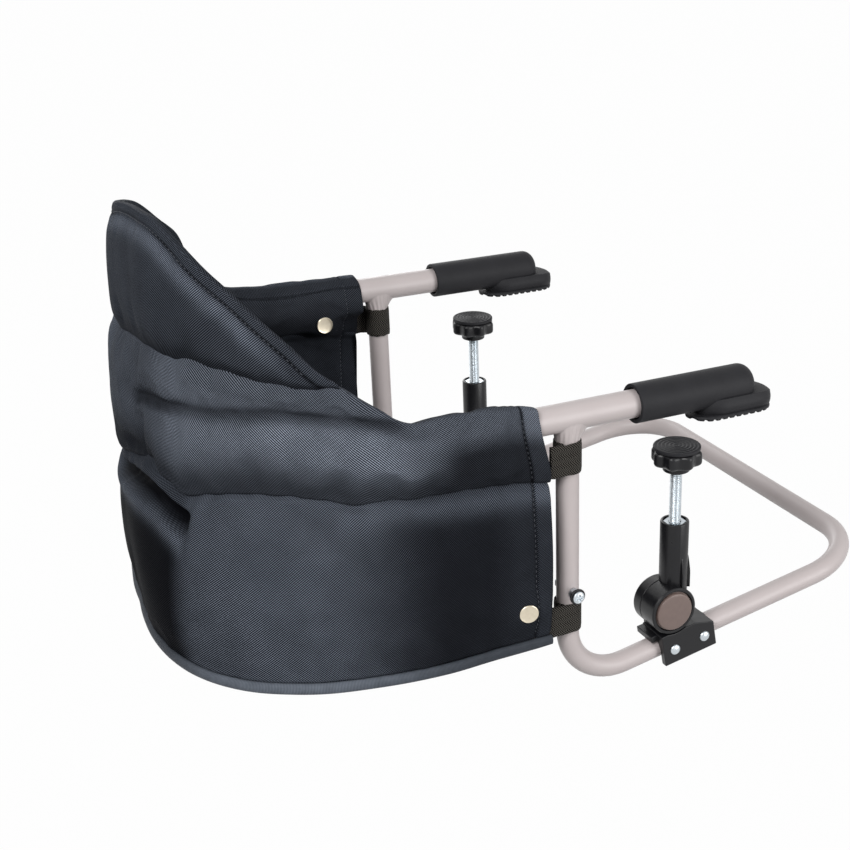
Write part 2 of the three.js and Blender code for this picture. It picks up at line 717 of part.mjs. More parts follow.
function grip() {
  const front = ARM_FRONT_X + CLEARANCE + GRIP_NOSE;
  const nose = Array.from({ length: GRIP_ROUND_STEPS + 1 }, (_, i) => {
    const angle = ((Math.PI / 2) * i) / GRIP_ROUND_STEPS;
    const inward = GRIP_ROUND * (1 - Math.cos(angle));
    return [gripRadius - inward, front - GRIP_ROUND * (1 - Math.sin(angle))];
  });
  const barrel = turned([[0, GRIP_REAR_X], [gripRadius, GRIP_REAR_X], ...nose, [0, front]])
    .rotateZ(-Math.PI / 2)
    .translate(0, 0, ARM_HEIGHT);
  const half = FOOT_WIDTH / 2 - FOOT_ROUND;
  const rear = FOOT_REAR_X + FOOT_WIDTH / 2;
  const nearFront = FOOT_REAR_X + FOOT_LENGTH - FOOT_WIDTH / 2;
  const oval = new THREE.Shape();
  oval.absarc(nearFront, 0, half, -Math.PI / 2, Math.PI / 2);
  oval.absarc(rear, 0, half, Math.PI / 2, (3 * Math.PI) / 2);
  const pad = new THREE.ExtrudeGeometry(oval, {
    depth: FOOT_HEIGHT,
    bevelThickness: FOOT_ROUND,
    bevelSize: FOOT_ROUND,
    bevelSegments: 2,
    curveSegments: 8,
  }).translate(0, 0, -FOOT_ROUND);
  const below = block([-THROUGH, -THROUGH, -THROUGH], [THROUGH, THROUGH, 0]);
  const bore = bar("x", ARM_RADIUS + CLEARANCE, GRIP_REAR_X - 1, ARM_FRONT_X + CLEARANCE, TUBE_SIDES * 2)
    .translate(0, 0, ARM_HEIGHT);
  const middle = FOOT_REAR_X + FOOT_LENGTH / 2;
  const count = Math.floor((FOOT_LENGTH / 2 - TREAD_PITCH / 2) / TREAD_PITCH);
  const grooves = [];
  for (let k = -count - 1; k <= count; k++) {
    const x = middle + (k + 0.5) * TREAD_PITCH;
    grooves.push(block([x - TREAD_GROOVE / 2, -THROUGH, -1], [x + TREAD_GROOVE / 2, THROUGH, TREAD_DEPTH]));
  }
  return cut(join(barrel, pad), below, bore, ...grooves);
}

// Webbing loop round a post, with a tail that runs back along the seat's wall. It starts at zero height.
function strap(tail) {
  const inner = POST_RADIUS + CLEARANCE;
  const outer = inner + STRAP_THICKNESS;
  const loop = bar("z", outer, 0, STRAP_WIDTH);
  const ends = block([-tail, outer - 2 * STRAP_THICKNESS, 0], [0, outer, STRAP_WIDTH]);
  return cut(join(loop, ends), bar("z", inner, -1, STRAP_WIDTH + 1));
}

function ring(outerRadius, innerRadius, from, to) {
  return turned([
    [innerRadius, from],
    [outerRadius, from],
    [outerRadius, to],
    [innerRadius, to],
    [innerRadius, from],
  ], TUBE_SIDES);
}

// Hub layout along the side's Y, from the bracket's inner face to the button's face
const hubInner = -HUB_WIDTH / 2;
const hubOuter = HUB_WIDTH / 2;
const hubSplit = hubInner + HUB_FIXED_WIDTH;
const webOuter = hubOuter - BUTTON_ROOM;
const webInner = webOuter - HUB_WEB;
const gearOuter = webInner - HUB_GAP;
const gearInner = gearOuter - GEAR_THICKNESS;
const springSeat = hubInner + HUB_FLOOR;
const gearRoom = GEAR_RADIUS + CLEARANCE;
const pinHole = PIN_DIAMETER / 2 + CLEARANCE;
const pinEnd = webOuter + PIN_NUT_HEIGHT + 2 * CLEARANCE;
const flangeRadius = BUTTON_RADIUS + BUTTON_GROOVE + BUTTON_FLANGE;
const hubPlace = bracketPlace
  .clone()
  .addScaledVector(runAlong, -HUB_SETBACK)
  .add(new THREE.Vector2(-runAlong.y, runAlong.x).multiplyScalar(HUB_RISE));

// Saddle over the lower run with the fixed half of the hub, in the run's own slope: X along the run,
// Z square to it, zero on the run's axis midway between the rivets.
function bracket() {
  const half = BRACKET_LENGTH / 2;
  const width = BRACKET_WIDTH / 2;
  const side = new THREE.Shape([
    new THREE.Vector2(-half, -BRACKET_SKIRT),
    new THREE.Vector2(half, -BRACKET_SKIRT),
    new THREE.Vector2(half, BRACKET_CROWN - BRACKET_NOSE_DROP),
    new THREE.Vector2(half - BRACKET_NOSE_LENGTH, BRACKET_CROWN),
    new THREE.Vector2(-half, BRACKET_CROWN),
  ]);
  const place = (g) => g.translate(-HUB_SETBACK, 0, HUB_RISE);
  const saddle = cut(
    plate(side, -width, width),
    place(bar("y", HUB_RADIUS + HUB_GAP, -THROUGH, THROUGH, HUB_SIDES)),
  );
  const fixedFace = hubSplit - CLEARANCE / 2;
  const disc = place(bar("y", HUB_RADIUS, hubInner, fixedFace, HUB_SIDES));
  const neck = block(
    [-HUB_SETBACK - HUB_NECK_WIDTH / 2, hubInner, POST_RADIUS],
    [-HUB_SETBACK + HUB_NECK_WIDTH / 2, fixedFace, HUB_RISE],
  );
  const channel = POST_RADIUS + CLEARANCE;
  const rivetHole = (k) =>
    bar("y", RIVET_DIAMETER / 2 + CLEARANCE, -THROUGH, THROUGH, SMALL_SIDES)
      .translate(k * RIVET_SPACING, 0, 0);
  return cut(
    join(saddle, disc, neck),
    bar("x", channel, -THROUGH, THROUGH, ROUND_SIDES),
    block([-THROUGH, -channel, -THROUGH], [THROUGH, channel, 0]),
    rivetHole(-0.5),
    rivetHole(0.5),
    place(bar("y", gearRoom, springSeat, THROUGH)),
    place(bar("y", pinHole, -THROUGH, THROUGH, SMALL_SIDES)),
  );
}

function rivet() {
  const half = BRACKET_WIDTH / 2 + CLEARANCE;
  const shank = RIVET_DIAMETER / 2;
  const head = RIVET_HEAD_DIAMETER / 2;
  return turned([
    ...dome(head, RIVET_HEAD_HEIGHT, half),
    [shank, half],
    [shank, -half],
    ...dome(head, -RIVET_HEAD_HEIGHT, -half).reverse(),
  ], SMALL_SIDES);
}

function hubPin() {
  const face = hubInner - CLEARANCE;
  return turned([
    [0, face - PIN_HEAD_HEIGHT],
    [PIN_HEAD_DIAMETER / 2 - PIN_CHAMFER, face - PIN_HEAD_HEIGHT],
    [PIN_HEAD_DIAMETER / 2, face - PIN_HEAD_HEIGHT + PIN_CHAMFER],
    [PIN_HEAD_DIAMETER / 2, face],
    [PIN_DIAMETER / 2, face],
    [PIN_DIAMETER / 2, pinEnd],
    [0, pinEnd],
  ], SMALL_SIDES);
}

const pinNut = () =>
  cut(
    hexagon(PIN_NUT_WIDTH, webOuter + CLEARANCE, webOuter + CLEARANCE + PIN_NUT_HEIGHT),
    bar("y", pinHole, -THROUGH, THROUGH, SMALL_SIDES),
  );

// Return spring between the bracket's floor and the lock gear.
function buttonSpring() {
  const from = springSeat + CLEARANCE + SPRING_WIRE / 2;
  const to = gearInner - CLEARANCE - SPRING_WIRE / 2;
  const steps = Math.round(SPRING_TURNS * SMALL_SIDES);
  const points = Array.from({ length: steps + 1 }, (_, i) => {
    const angle = (2 * Math.PI * SPRING_TURNS * i) / steps;
    return new THREE.Vector3(
      SPRING_RADIUS * Math.cos(angle),
      from + ((to - from) * i) / steps,
      SPRING_RADIUS * Math.sin(angle),
    );
  });
  return pipe(points, SPRING_WIRE / 2, undefined, SPRING_WIRE_SIDES);
}

function lockGear() {
  const outline = new THREE.Shape(
    Array.from({ length: 4 * GEAR_TEETH }, (_, k) => {
      const radius = k % 4 < 2 ? GEAR_RADIUS : GEAR_RADIUS - GEAR_TOOTH;
      const angle = (2 * Math.PI * k) / (4 * GEAR_TEETH);
      return new THREE.Vector2(radius * Math.cos(angle), radius * Math.sin(angle));
    }),
  );
  return cut(plate(outline, gearInner, gearOuter), bar("y", pinHole, -THROUGH, THROUGH, SMALL_SIDES));
}

const legPlaces = Array.from({ length: LEG_COUNT }, (_, k) => {
  const angle = (2 * Math.PI * k) / LEG_COUNT;
  return [LEG_CIRCLE_RADIUS * Math.cos(angle), LEG_CIRCLE_RADIUS * Math.sin(angle)];
});
const leg = (radius, from, to, [x, z]) => bar("y", radius, from, to, SMALL_SIDES).translate(x, 0, z);

function releaseButton() {
  const top = hubOuter + BUTTON_PROUD;
  const flangeLow = webOuter + BUTTON_TRAVEL + CLEARANCE;
  const flangeHigh = hubOuter - BUTTON_LIP - CLEARANCE;
  const inside = BUTTON_RADIUS - BUTTON_SKIRT;
  const cup = turned([
    [0, top - BUTTON_TOP],
    [inside, top - BUTTON_TOP],
    [inside, flangeLow],
    [flangeRadius, flangeLow],
    [flangeRadius, flangeHigh],
    [BUTTON_RADIUS, flangeHigh],
    [BUTTON_RADIUS, top - BUTTON_CHAMFER],
    [BUTTON_RADIUS - BUTTON_CHAMFER, top],
    [0, top],
  ]);
  const legs = legPlaces.map((p) =>
    leg(LEG_DIAMETER / 2, gearOuter + CLEARANCE, top - BUTTON_TOP / 2, p),
  );
  return join(cup, ...legs);
}

// Sleeve and the swinging half of the hub, about the hub's centre.
function clampArm() {
  const face = hubSplit + CLEARANCE / 2;
  const across = (g) => g.translate(SLEEVE_OFFSET, 0, 0);
  const sleeve = cut(
    across(bar("z", SLEEVE_DIAMETER / 2, 0, SLEEVE_RISE)),
    bar("y", HUB_RADIUS + 2 * CLEARANCE, -THROUGH, face, HUB_SIDES),
  );
  const hub = bar("y", HUB_RADIUS, face, hubOuter, HUB_SIDES);
  const nutPocket = hexagon(NUT_WIDTH + 2 * CLEARANCE, -NUT_RECESS - NUT_HEIGHT - 2 * CLEARANCE, 1)
    .rotateX(Math.PI / 2)
    .translate(0, 0, SLEEVE_RISE);
  const boreDepth = SCREW_ENGAGED + SCREW_LOWERING + SCREW_SPARE;
  return cut(
    join(sleeve, hub),
    across(bar("z", SCREW_DIAMETER / 2 + CLEARANCE, SLEEVE_RISE - boreDepth, SLEEVE_RISE + 1)),
    across(nutPocket),
    bar("y", gearRoom, -THROUGH, webInner),
    bar("y", pinHole, -THROUGH, THROUGH, SMALL_SIDES),
    ...legPlaces.map((p) => leg(LEG_DIAMETER / 2 + CLEARANCE, -THROUGH, THROUGH, p)),
    bar("y", flangeRadius + CLEARANCE, webOuter, hubOuter - BUTTON_LIP),
    bar("y", BUTTON_RADIUS + BUTTON_GROOVE, webOuter, THROUGH),
  );
}

// Heights along the screw, above the hub's centre
const padTop = -TABLE_THICKNESS - hubPlace.y;
const wheelTop = padTop - PAD_THICKNESS - CLEARANCE;
const wheelLow = wheelTop - WHEEL_THICKNESS;
const screwLow = SLEEVE_RISE - SCREW_ENGAGED;
const screwTop = wheelTop - WHEEL_COVER;

function clampNut() {
  const top = SLEEVE_RISE - NUT_RECESS;
  const nut = hexagon(NUT_WIDTH, -NUT_HEIGHT, 0).rotateX(Math.PI / 2).translate(0, 0, top);
  return cut(nut, bar("z", SCREW_DIAMETER / 2 + CLEARANCE, -THROUGH, THROUGH));
}

const clampScrew = () => bar("z", SCREW_DIAMETER / 2, screwLow, screwTop);

// Lobed wheel on the screw's top, with a boss below and a spigot above that carries the pad.
function padWheel() {
  const steps = WHEEL_LOBES * WHEEL_LOBE_STEPS;
  const points = Array.from({ length: steps }, (_, k) => {
    const angle = (2 * Math.PI * k) / steps;
    const dip = (WHEEL_LOBE_DEPTH / 2) * (1 - Math.cos(WHEEL_LOBES * angle));
    const radius = WHEEL_DIAMETER / 2 - dip;
    return new THREE.Vector2(radius * Math.cos(angle), radius * Math.sin(angle));
  });
  const shape = new THREE.Shape(points);
  const body = new THREE.ExtrudeGeometry(shape, { depth: WHEEL_THICKNESS, bevelEnabled: false })
    .translate(0, 0, wheelLow);
  const boss = bar("z", WHEEL_BOSS_DIAMETER / 2, wheelLow - WHEEL_BOSS_HEIGHT, wheelTop);
  const spigot = bar("z", SPIGOT_DIAMETER / 2, wheelLow, wheelTop + SPIGOT_LENGTH, SMALL_SIDES);
  return cut(
    join(body, boss, spigot),
    bar("z", SCREW_DIAMETER / 2 + CLEARANCE, -THROUGH, screwTop + CLEARANCE),
  );
}

function tablePad() {
  const low = padTop - PAD_THICKNESS;
  // The hole's flats, not its corners, clear the spigot, so that it can turn.
  const socket = (SPIGOT_DIAMETER / 2 + CLEARANCE) / Math.cos(Math.PI / SMALL_SIDES);
  return cut(
    bar("z", PAD_DIAMETER / 2, low, padTop),
    bar("z", socket, low - 1, low + SPIGOT_LENGTH, SMALL_SIDES),
  );
}

function buildSide(name, sign) {
  const side = new THREE.Group();
  side.position.y = sign * HALF_SPACING;
  side.scale.y = sign;
  chair.add(side);

  add(side, `${name}_grip`, grip(), RUBBER);

  const armLow = ARM_HEIGHT - ARM_RADIUS;
  const upper = add(side, `${name}_upper_strap`, strap(POST_X - SEAT_FRONT_X - CLEARANCE), WEBBING);
  upper.position.set(POST_X, 0, armLow - UPPER_STRAP_GAP - STRAP_WIDTH);
  const lower = add(side, `${name}_lower_strap`, strap(STRAP_TAIL), WEBBING);
  const washerLow = stopHeight - STOP_WASHER_DIAMETER / 2;
  lower.position.set(POST_X, 0, washerLow - LOWER_STRAP_GAP - STRAP_WIDTH);

  const stop = new THREE.Group();
  stop.position.set(POST_X, 0, stopHeight);
  side.add(stop);
  const spacerFrom = POST_RADIUS + CLEARANCE;
  const spacerTo = spacerFrom + STOP_SPACER_LENGTH;
  const washerFrom = spacerTo + CLEARANCE;
  const washerTo = washerFrom + STOP_WASHER_THICKNESS;
  const headFrom = washerTo + CLEARANCE;
  const hole = STOP_DIAMETER / 2 + CLEARANCE;
  const nutTo = -POST_RADIUS - CLEARANCE;
  const screw = turned([
    ...dome(STOP_HEAD_DIAMETER / 2, STOP_HEAD_HEIGHT, headFrom),
    [STOP_DIAMETER / 2, headFrom],
    [STOP_DIAMETER / 2, nutTo - STOP_NUT_HEIGHT - STOP_END],
    [0, nutTo - STOP_NUT_HEIGHT - STOP_END],
  ], SMALL_SIDES);
  const spacer = ring(STOP_SPACER_DIAMETER / 2, hole, spacerFrom, spacerTo);
  const washer = ring(STOP_WASHER_DIAMETER / 2, hole, washerFrom, washerTo);
  add(stop, `${name}_stop_spacer`, spacer, ZINC);
  add(stop, `${name}_stop_washer`, washer, BLACK_PLASTIC);
  add(stop, `${name}_stop_screw`, screw, ZINC);
  const stopNut = cut(
    hexagon(STOP_NUT_WIDTH, nutTo - STOP_NUT_HEIGHT, nutTo),
    bar("y", hole, -THROUGH, THROUGH, SMALL_SIDES),
  );
  add(stop, `${name}_stop_nut`, stopNut, ZINC);

  const lowerStud = turned(
    studProfile(SKIRT_THICKNESS + 4 * CLEARANCE, STUD_BACK_DIAMETER / 2),
    TUBE_SIDES,
  );
  const lowerMesh = add(side, `${name}_lower_stud`, lowerStud, NICKEL);
  lowerMesh.position.set(LOWER_STUD_X, lowerStudFace + 2 * CLEARANCE, lowerStudHeight);
  const upperStud = turned(studProfile(UPPER_STUD_DEPTH, STUD_SHANK_DIAMETER / 2), TUBE_SIDES);
  const upperMesh = add(side, `${name}_upper_stud`, upperStud, NICKEL);
  upperMesh.rotation.x = Math.PI;
  upperMesh.position.set(UPPER_STUD_X, -BAND_PUFF - CLEARANCE, UPPER_STUD_HEIGHT);

  const run = new THREE.Group();
  run.position.set(bracketPlace.x, 0, bracketPlace.y);
  run.rotation.y = -LOWER_RISE;
  side.add(run);
  add(run, `${name}_clamp_bracket`, bracket(), BLACK_PLASTIC);
  ["rear", "front"].forEach((which, i) => {
    const mesh = add(run, `${name}_${which}_rivet`, rivet(), ZINC);
    mesh.position.x = (i - 0.5) * RIVET_SPACING;
  });

  const hub = new THREE.Group();
  hub.position.set(hubPlace.x, 0, hubPlace.y);
  side.add(hub);
  add(hub, `${name}_hub_pin`, hubPin(), ZINC);
  add(hub, `${name}_hub_nut`, pinNut(), ZINC);
  add(hub, `${name}_button_spring`, buttonSpring(), ZINC);
  add(hub, `${name}_lock_gear`, lockGear(), BLACK_PLASTIC);
  add(hub, `${name}_release_button`, releaseButton(), TAUPE_PLASTIC);
  add(hub, `${name}_clamp_arm`, clampArm(), BLACK_PLASTIC);

  const screwLine = new THREE.Group();
  screwLine.position.x = SLEEVE_OFFSET;
  hub.add(screwLine);
  add(screwLine, `${name}_clamp_nut`, clampNut(), ZINC);
  add(screwLine, `${name}_clamp_screw`, clampScrew(), ZINC);
  add(screwLine, `${name}_pad_wheel`, padWheel(), BLACK_PLASTIC);
  add(screwLine, `${name}_table_pad`, tablePad(), RUBBER);
}

buildSide("right", -1);
buildSide("left", 1);

export default chair;
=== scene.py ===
# %% [markdown]
# # A chair that hooks on to an edge
# This chair has no legs. Two bent steel tubes carry a sewn seat, two rubber feet rest on a surface, and
# two screw clamps press up from below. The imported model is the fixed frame: every piece that is made
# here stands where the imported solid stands, in metres, and only makes it look like the real thing.

# %% Load the frame
import math

import bpy
import numpy as np
from mathutils import Matrix, Vector


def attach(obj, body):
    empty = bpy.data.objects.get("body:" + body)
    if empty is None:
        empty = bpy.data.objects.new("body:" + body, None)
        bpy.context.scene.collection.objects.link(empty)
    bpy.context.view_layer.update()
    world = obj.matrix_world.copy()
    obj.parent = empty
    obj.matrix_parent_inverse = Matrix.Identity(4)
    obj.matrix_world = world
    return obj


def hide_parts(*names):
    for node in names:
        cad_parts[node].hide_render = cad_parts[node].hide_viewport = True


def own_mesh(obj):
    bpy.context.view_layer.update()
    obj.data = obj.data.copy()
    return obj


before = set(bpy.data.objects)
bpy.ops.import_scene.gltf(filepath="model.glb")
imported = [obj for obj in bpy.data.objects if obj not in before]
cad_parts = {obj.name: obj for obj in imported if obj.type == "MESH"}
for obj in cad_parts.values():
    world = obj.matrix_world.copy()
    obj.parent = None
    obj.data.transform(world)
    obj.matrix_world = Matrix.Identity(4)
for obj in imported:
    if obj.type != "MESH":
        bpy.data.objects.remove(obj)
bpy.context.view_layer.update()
scene = bpy.context.scene
MM = 0.001

# %% [markdown]
# ## Camera
# The picture was taken from behind the sitter's right shoulder, looking down a little. A camera could be
# placed by eye, but here its place, turn and lens come from lining up the known lengths of the tubes with
# the picture. The lens is shifted, because the seat isn't in the middle of the picture.

# %% Place the camera
CAMERA_PLACE = (-0.58621, -1.14044, 0.44704)
CAMERA_YAW = 0.525589
CAMERA_PITCH = 0.437328
CAMERA_ROLL = 0.009688
CAMERA_LENS = 66.306
CAMERA_SHIFT = (-0.21089, 0.10856)

lens = bpy.data.cameras.new("camera")
lens.sensor_width = 36
lens.lens = CAMERA_LENS
lens.shift_x, lens.shift_y = CAMERA_SHIFT
lens.clip_start = 0.05
camera = bpy.data.objects.new("camera", lens)
scene.collection.objects.link(camera)
camera.matrix_world = (
    Matrix.Translation(CAMERA_PLACE)
    @ Matrix.Rotation(-CAMERA_YAW, 4, "Z")
    @ Matrix.Rotation(math.pi / 2 - CAMERA_PITCH, 4, "X")
    @ Matrix.Rotation(CAMERA_ROLL, 4, "Z")
)
scene.camera = camera
print("camera looks along", tuple(round(v, 3) for v in camera.matrix_world.to_3x3() @ Vector((0, 0, -1))))

# %% [markdown]
# ## Shader maths
# A finish is a small network of nodes. Wiring it by hand takes many lines, so one class stands for a
# node's output and turns `a * b + 1` into Math nodes, and one method adds any other node.

# %% Values and networks
TURN = 2 * math.pi


def arithmetic(operation, reflected=False):
    """A method that adds one Math node. A reflected one puts the other value first."""

    def method(self, other=0.0):
        inputs = {0: other, 1: self} if reflected else {0: self, 1: other}
        return self.network.node("ShaderNodeMath", {"operation": operation}, inputs)

    return method


class Value:
    """One output of a shader node. Sums, products and powers of values add Math nodes."""

    __add__ = __radd__ = arithmetic("ADD")
    __mul__ = __rmul__ = arithmetic("MULTIPLY")
    __sub__, __rsub__ = arithmetic("SUBTRACT"), arithmetic("SUBTRACT", reflected=True)
    __truediv__, __rtruediv__ = arithmetic("DIVIDE"), arithmetic("DIVIDE", reflected=True)
    __pow__ = arithmetic("POWER")
    greater = arithmetic("MAXIMUM")
    folded = arithmetic("PINGPONG")
    sine = arithmetic("SINE")

    def __init__(self, network, socket):
        self.network = network
        self.socket = socket

    def ripple(self, length):
        """A sine wave of that length, between 0 and 1."""
        return 0.5 + 0.5 * (self * (TURN / length)).sine()


class Network:
    """A tree of shader nodes."""

    def __init__(self, tree):
        self.tree = tree

    def node(self, kind, settings=None, inputs=None, output=0):
        """Add a node: its type, its settings, then values or links for its sockets. Gives one output."""
        node = self.tree.nodes.new(kind)
        for key, setting in (settings or {}).items():
            setattr(node, key, setting)
        for key, value in (inputs or {}).items():
            self.feed(node.inputs[key], value)
        return Value(self, node.outputs[output])

    def feed(self, socket, value):
        """Link a value to a socket, or set the socket to a plain number or colour."""
        if isinstance(value, Value):
            self.tree.links.new(value.socket, socket)
        else:
            socket.default_value = value

    def in_sight(self):
        """One for what the camera or a reflection sees, and zero for what only gives light."""
        rays = ("Is Camera Ray", "Is Glossy Ray")
        camera_ray, glossy_ray = (self.node("ShaderNodeLightPath", output=ray) for ray in rays)
        return camera_ray.greater(glossy_ray)


print("networks ready")

# %% [markdown]
# A finish is a network for one material. It adds the few things that every finish here is made of: noise
# whose lumps have a size in millimetres, a mix of two colours, a bump and the weave of a cloth.

# %% Finishes
def tint(red, green, blue):
    """A colour as written on a screen, 0 to 255, made linear for the shader."""
    part = np.array([red, green, blue]) / 255
    return (*np.where(part <= 0.04045, part / 12.92, ((part + 0.055) / 1.055) ** 2.4), 1.0)


class Finish(Network):
    """One material: its nodes, and the record's slot that it belongs to."""

    def __init__(self, name, slot, **sockets):
        self.slot = slot
        self.material = bpy.data.materials.new(name)
        self.material.use_nodes = True
        super().__init__(self.material.node_tree)
        self.shader = self.tree.nodes["Principled BSDF"]
        self.set(**sockets)

    def set(self, **sockets):
        """Give the shader's sockets values or links; an underscore in a name stands for a space."""
        for name, value in sockets.items():
            self.feed(self.shader.inputs[name.replace("_", " ")], value)

    def noise(self, size, detail):
        """Soft noise from 0 to 1, whose lumps are about size millimetres across."""
        place = self.node("ShaderNodeTexCoord", output="Object")
        inputs = {"Vector": place, "Scale": 1 / (size * MM), "Detail": detail}
        return self.node("ShaderNodeTexNoise", None, inputs)

    def mix(self, factor, first, second):
        """A colour between two colours."""
        return self.node("ShaderNodeMix", {"data_type": "RGBA"}, {0: factor, 6: first, 7: second}, 2)

    def bump(self, height, depth, strength=1.0):
        """The normal of a surface raised by height times depth millimetres."""
        inputs = {"Height": height, "Distance": depth * MM, "Strength": strength}
        return self.node("ShaderNodeBump", None, inputs)

    def along(self):
        """The piece's own weave coordinates: millimetres along and across the cloth, and its level of painted
        light.
        """
        weave = self.node("ShaderNodeAttribute", {"attribute_name": "weave"}, None, "Vector")
        return [self.node("ShaderNodeSeparateXYZ", None, {"Vector": weave}, axis) for axis in "XYZ"]


def uneven(name, slot, tones, rough, cloud, sheen, grain, depth, **sockets):
    """A finish of one colour that is never quite even. tones are two colours, mixed by a noise, and rough is
    the least roughness and its range. cloud, sheen and grain are the (size, detail) of the noise in the
    colour, in the roughness and in the bump, which is depth millimetres high."""
    finish = Finish(name, slot, **sockets)
    first, second = (tint(*tone) for tone in tones)
    least, more = rough
    finish.set(
        Base_Color=finish.mix(finish.noise(*cloud), first, second),
        Roughness=least + more * finish.noise(*sheen),
        Normal=finish.bump(finish.noise(*grain), depth),
    )
    return finish


print("finish helpers ready")

# %% [markdown]
# ## Steel, zinc and nickel
# The tubes are powder coated: a warm grey skin with a fine orange peel and a soft gloss. The screws and
# rivets are zinc plated, which is never even, and the press studs are nickel with a warm tone. Each is
# one colour with slow noise in it, and a finer noise in the gloss and in the bump.

# %% Coat and metals
powder = uneven("powder_coat_greige", "powder_coat", [(200, 191, 190), (190, 180, 179)], (0.34, 0.12),
                cloud=(38, 3), sheen=(9, 2), grain=(1.5, 2), depth=0.03, Specular_IOR_Level=0.45)
zinc = uneven("zinc_plate", "zinc", [(214, 220, 224), (176, 184, 190)], (0.2, 0.22),
              cloud=(4, 3), sheen=(1.2, 2), grain=(0.35, 2), depth=0.02, Metallic=1.0)
nickel = uneven("champagne_nickel", "nickel", [(226, 216, 196), (205, 194, 172)], (0.24, 0.16),
                cloud=(3, 2), sheen=(0.8, 2), grain=(0.4, 1), depth=0.015, Metallic=1.0)
print("coat and metals:", powder.material.name, zinc.material.name, nickel.material.name)

# %% [markdown]
# ## Rubber, plastic and board
# The grips are matt moulded rubber with a fine grain. The clamps are glossy black nylon that shows faint
# flow and rub marks, and the release button is the same stuff in a brown taupe. The seat's board is
# pressed fibre, dyed dark, with short flecks.

# %% Moulded finishes
GRAIN, RUBS, FLOW, FLECKS = (0.7, 3), (6, 4), (5, 3), (2.2, 4)
rubber = uneven("matt_rubber", "rubber", [(38, 38, 41), (27, 27, 30)], (0.5, 0.2),
                cloud=(14, 2), sheen=GRAIN, grain=GRAIN, depth=0.06, Specular_IOR_Level=0.22)
nylon = uneven("black_nylon", "black_plastic", [(26, 26, 29), (18, 18, 20)], (0.22, 0.2),
               cloud=RUBS, sheen=RUBS, grain=(1.4, 2), depth=0.025, Specular_IOR_Level=0.32)
taupe = uneven("taupe_nylon", "taupe_plastic", [(122, 105, 99), (108, 92, 87)], (0.3, 0.14),
               cloud=FLOW, sheen=FLOW, grain=(0.5, 2), depth=0.02, Specular_IOR_Level=0.5)
fibre = uneven("fibre_board", "board", [(44, 42, 42), (26, 25, 27)], (0.7, 0.2),
               cloud=FLECKS, sheen=FLECKS, grain=FLECKS, depth=0.1)
print("moulded finishes:", rubber.material.name, nylon.material.name, taupe.material.name)

# %% [markdown]
# ## Cloth
# The seat is a dark polyester twill. Its fine diagonal ribs run one way on the back and the skirt, and the
# other way on the band, because the panels were cut in different directions. The ribs follow the cloth,
# so they read the piece's own weave coordinates. A third number paints light into the cloth's colour:
# it is low for painted shade, in creases, pockets and inner layers, and high for painted highlights.

# %% Twill
TWILL_PITCH = 1.25
TWILL_FLOAT = 1.9
DIAGONAL = math.sqrt(2)


def twill(name, lean, valley, crown):
    """Twill: a rib is a line of along + lean times across, broken into short floats along itself. The
    ribs' crowns and valleys are two colours, and worn patches are a little paler. The weave's third number
    is painted light: it darkens the colour for painted shade and lightens it for painted highlights."""
    cloth = Finish(name, "fabric", Specular_IOR_Level=0.004)
    # The weave's third number is painted light: low for painted shade, high for painted highlights.
    along, across, painted_light = cloth.along()
    rib = (along + across * lean).ripple(TWILL_PITCH * DIAGONAL)
    floats = (along - across * lean).ripple(TWILL_FLOAT * DIAGONAL)
    yarn = rib**1.7 * (0.65 + 0.35 * floats)
    worn = cloth.noise(26, 3)
    cloth.set(
        Base_Color=cloth.mix(yarn * painted_light * (0.7 + 0.6 * worn), valley, crown),
        Roughness=0.58 - 0.14 * yarn,
        Normal=cloth.bump(yarn, 0.28, 0.8),
    )
    return cloth


twill_up = twill("twill_rising", 1.0, tint(9, 9, 12), tint(152, 161, 177))
twill_down = twill("twill_falling", -1.0, tint(10, 10, 13), tint(166, 175, 191))
print("twill:", twill_up.material.name, twill_down.material.name)

# %% [markdown]
# The straps are webbing in a herringbone, whose ribs change direction at every rib line, so a zigzag of the
# place across is added to the place along. The hem's tape has fine cross ribs. The thread, too thin to show
# its lay, is one uneven colour.

# %% Webbing, tape and thread
HERRINGBONE_COLUMN = 3.6
HERRINGBONE_PITCH = 2.0
webbing = Finish("herringbone_webbing", "webbing", Specular_IOR_Level=0.06)
web_along, web_across, _ = webbing.along()
zigzag = (web_across / (2 * HERRINGBONE_COLUMN)).folded(0.5) * (2 * HERRINGBONE_COLUMN)
strand = (web_along + zigzag).ripple(HERRINGBONE_PITCH)
webbing.set(
    Base_Color=webbing.mix(strand**2.5, tint(6, 6, 6), tint(102, 98, 92)),
    Roughness=0.7 - 0.15 * strand,
    Normal=webbing.bump(strand, 0.5),
)

TAPE_PITCH = 0.9
tape = Finish("binding_tape", "webbing", Specular_IOR_Level=0.06)
tape_along, _, tape_painted_light = tape.along()
ridge = tape_along.ripple(TAPE_PITCH)
# The tape's tone is scaled by its painted light: painted highlights and painted shade along the hem.
tape_tone = (0.3 + ridge * 0.5 + tape.noise(8, 2) * 0.4) * tape_painted_light
tape.set(
    Base_Color=tape.mix(tape_tone, tint(14, 15, 18), tint(120, 127, 138)),
    Roughness=0.52 - 0.12 * ridge,
    Normal=tape.bump(ridge, 0.18),
)

LAY = (0.6, 2)
thread = uneven("sewing_thread", "fabric", [(44, 46, 52), (86, 90, 98)], (0.5, 0.2),
                cloud=LAY, sheen=LAY, grain=LAY, depth=0.1, Specular_IOR_Level=0.4)
print("narrow goods:", webbing.material.name, tape.material.name, thread.material.name)

# %% [markdown]
# ## Skins
# Every new piece is a skin: points worked out as whole arrays, and faces as point numbers. A grid of
# points with a row number and a place in the row is enough for tubes, turned parts and cloth alike, so
# three helpers make nearly everything: a grid, a lathe and a profile carried along a path.

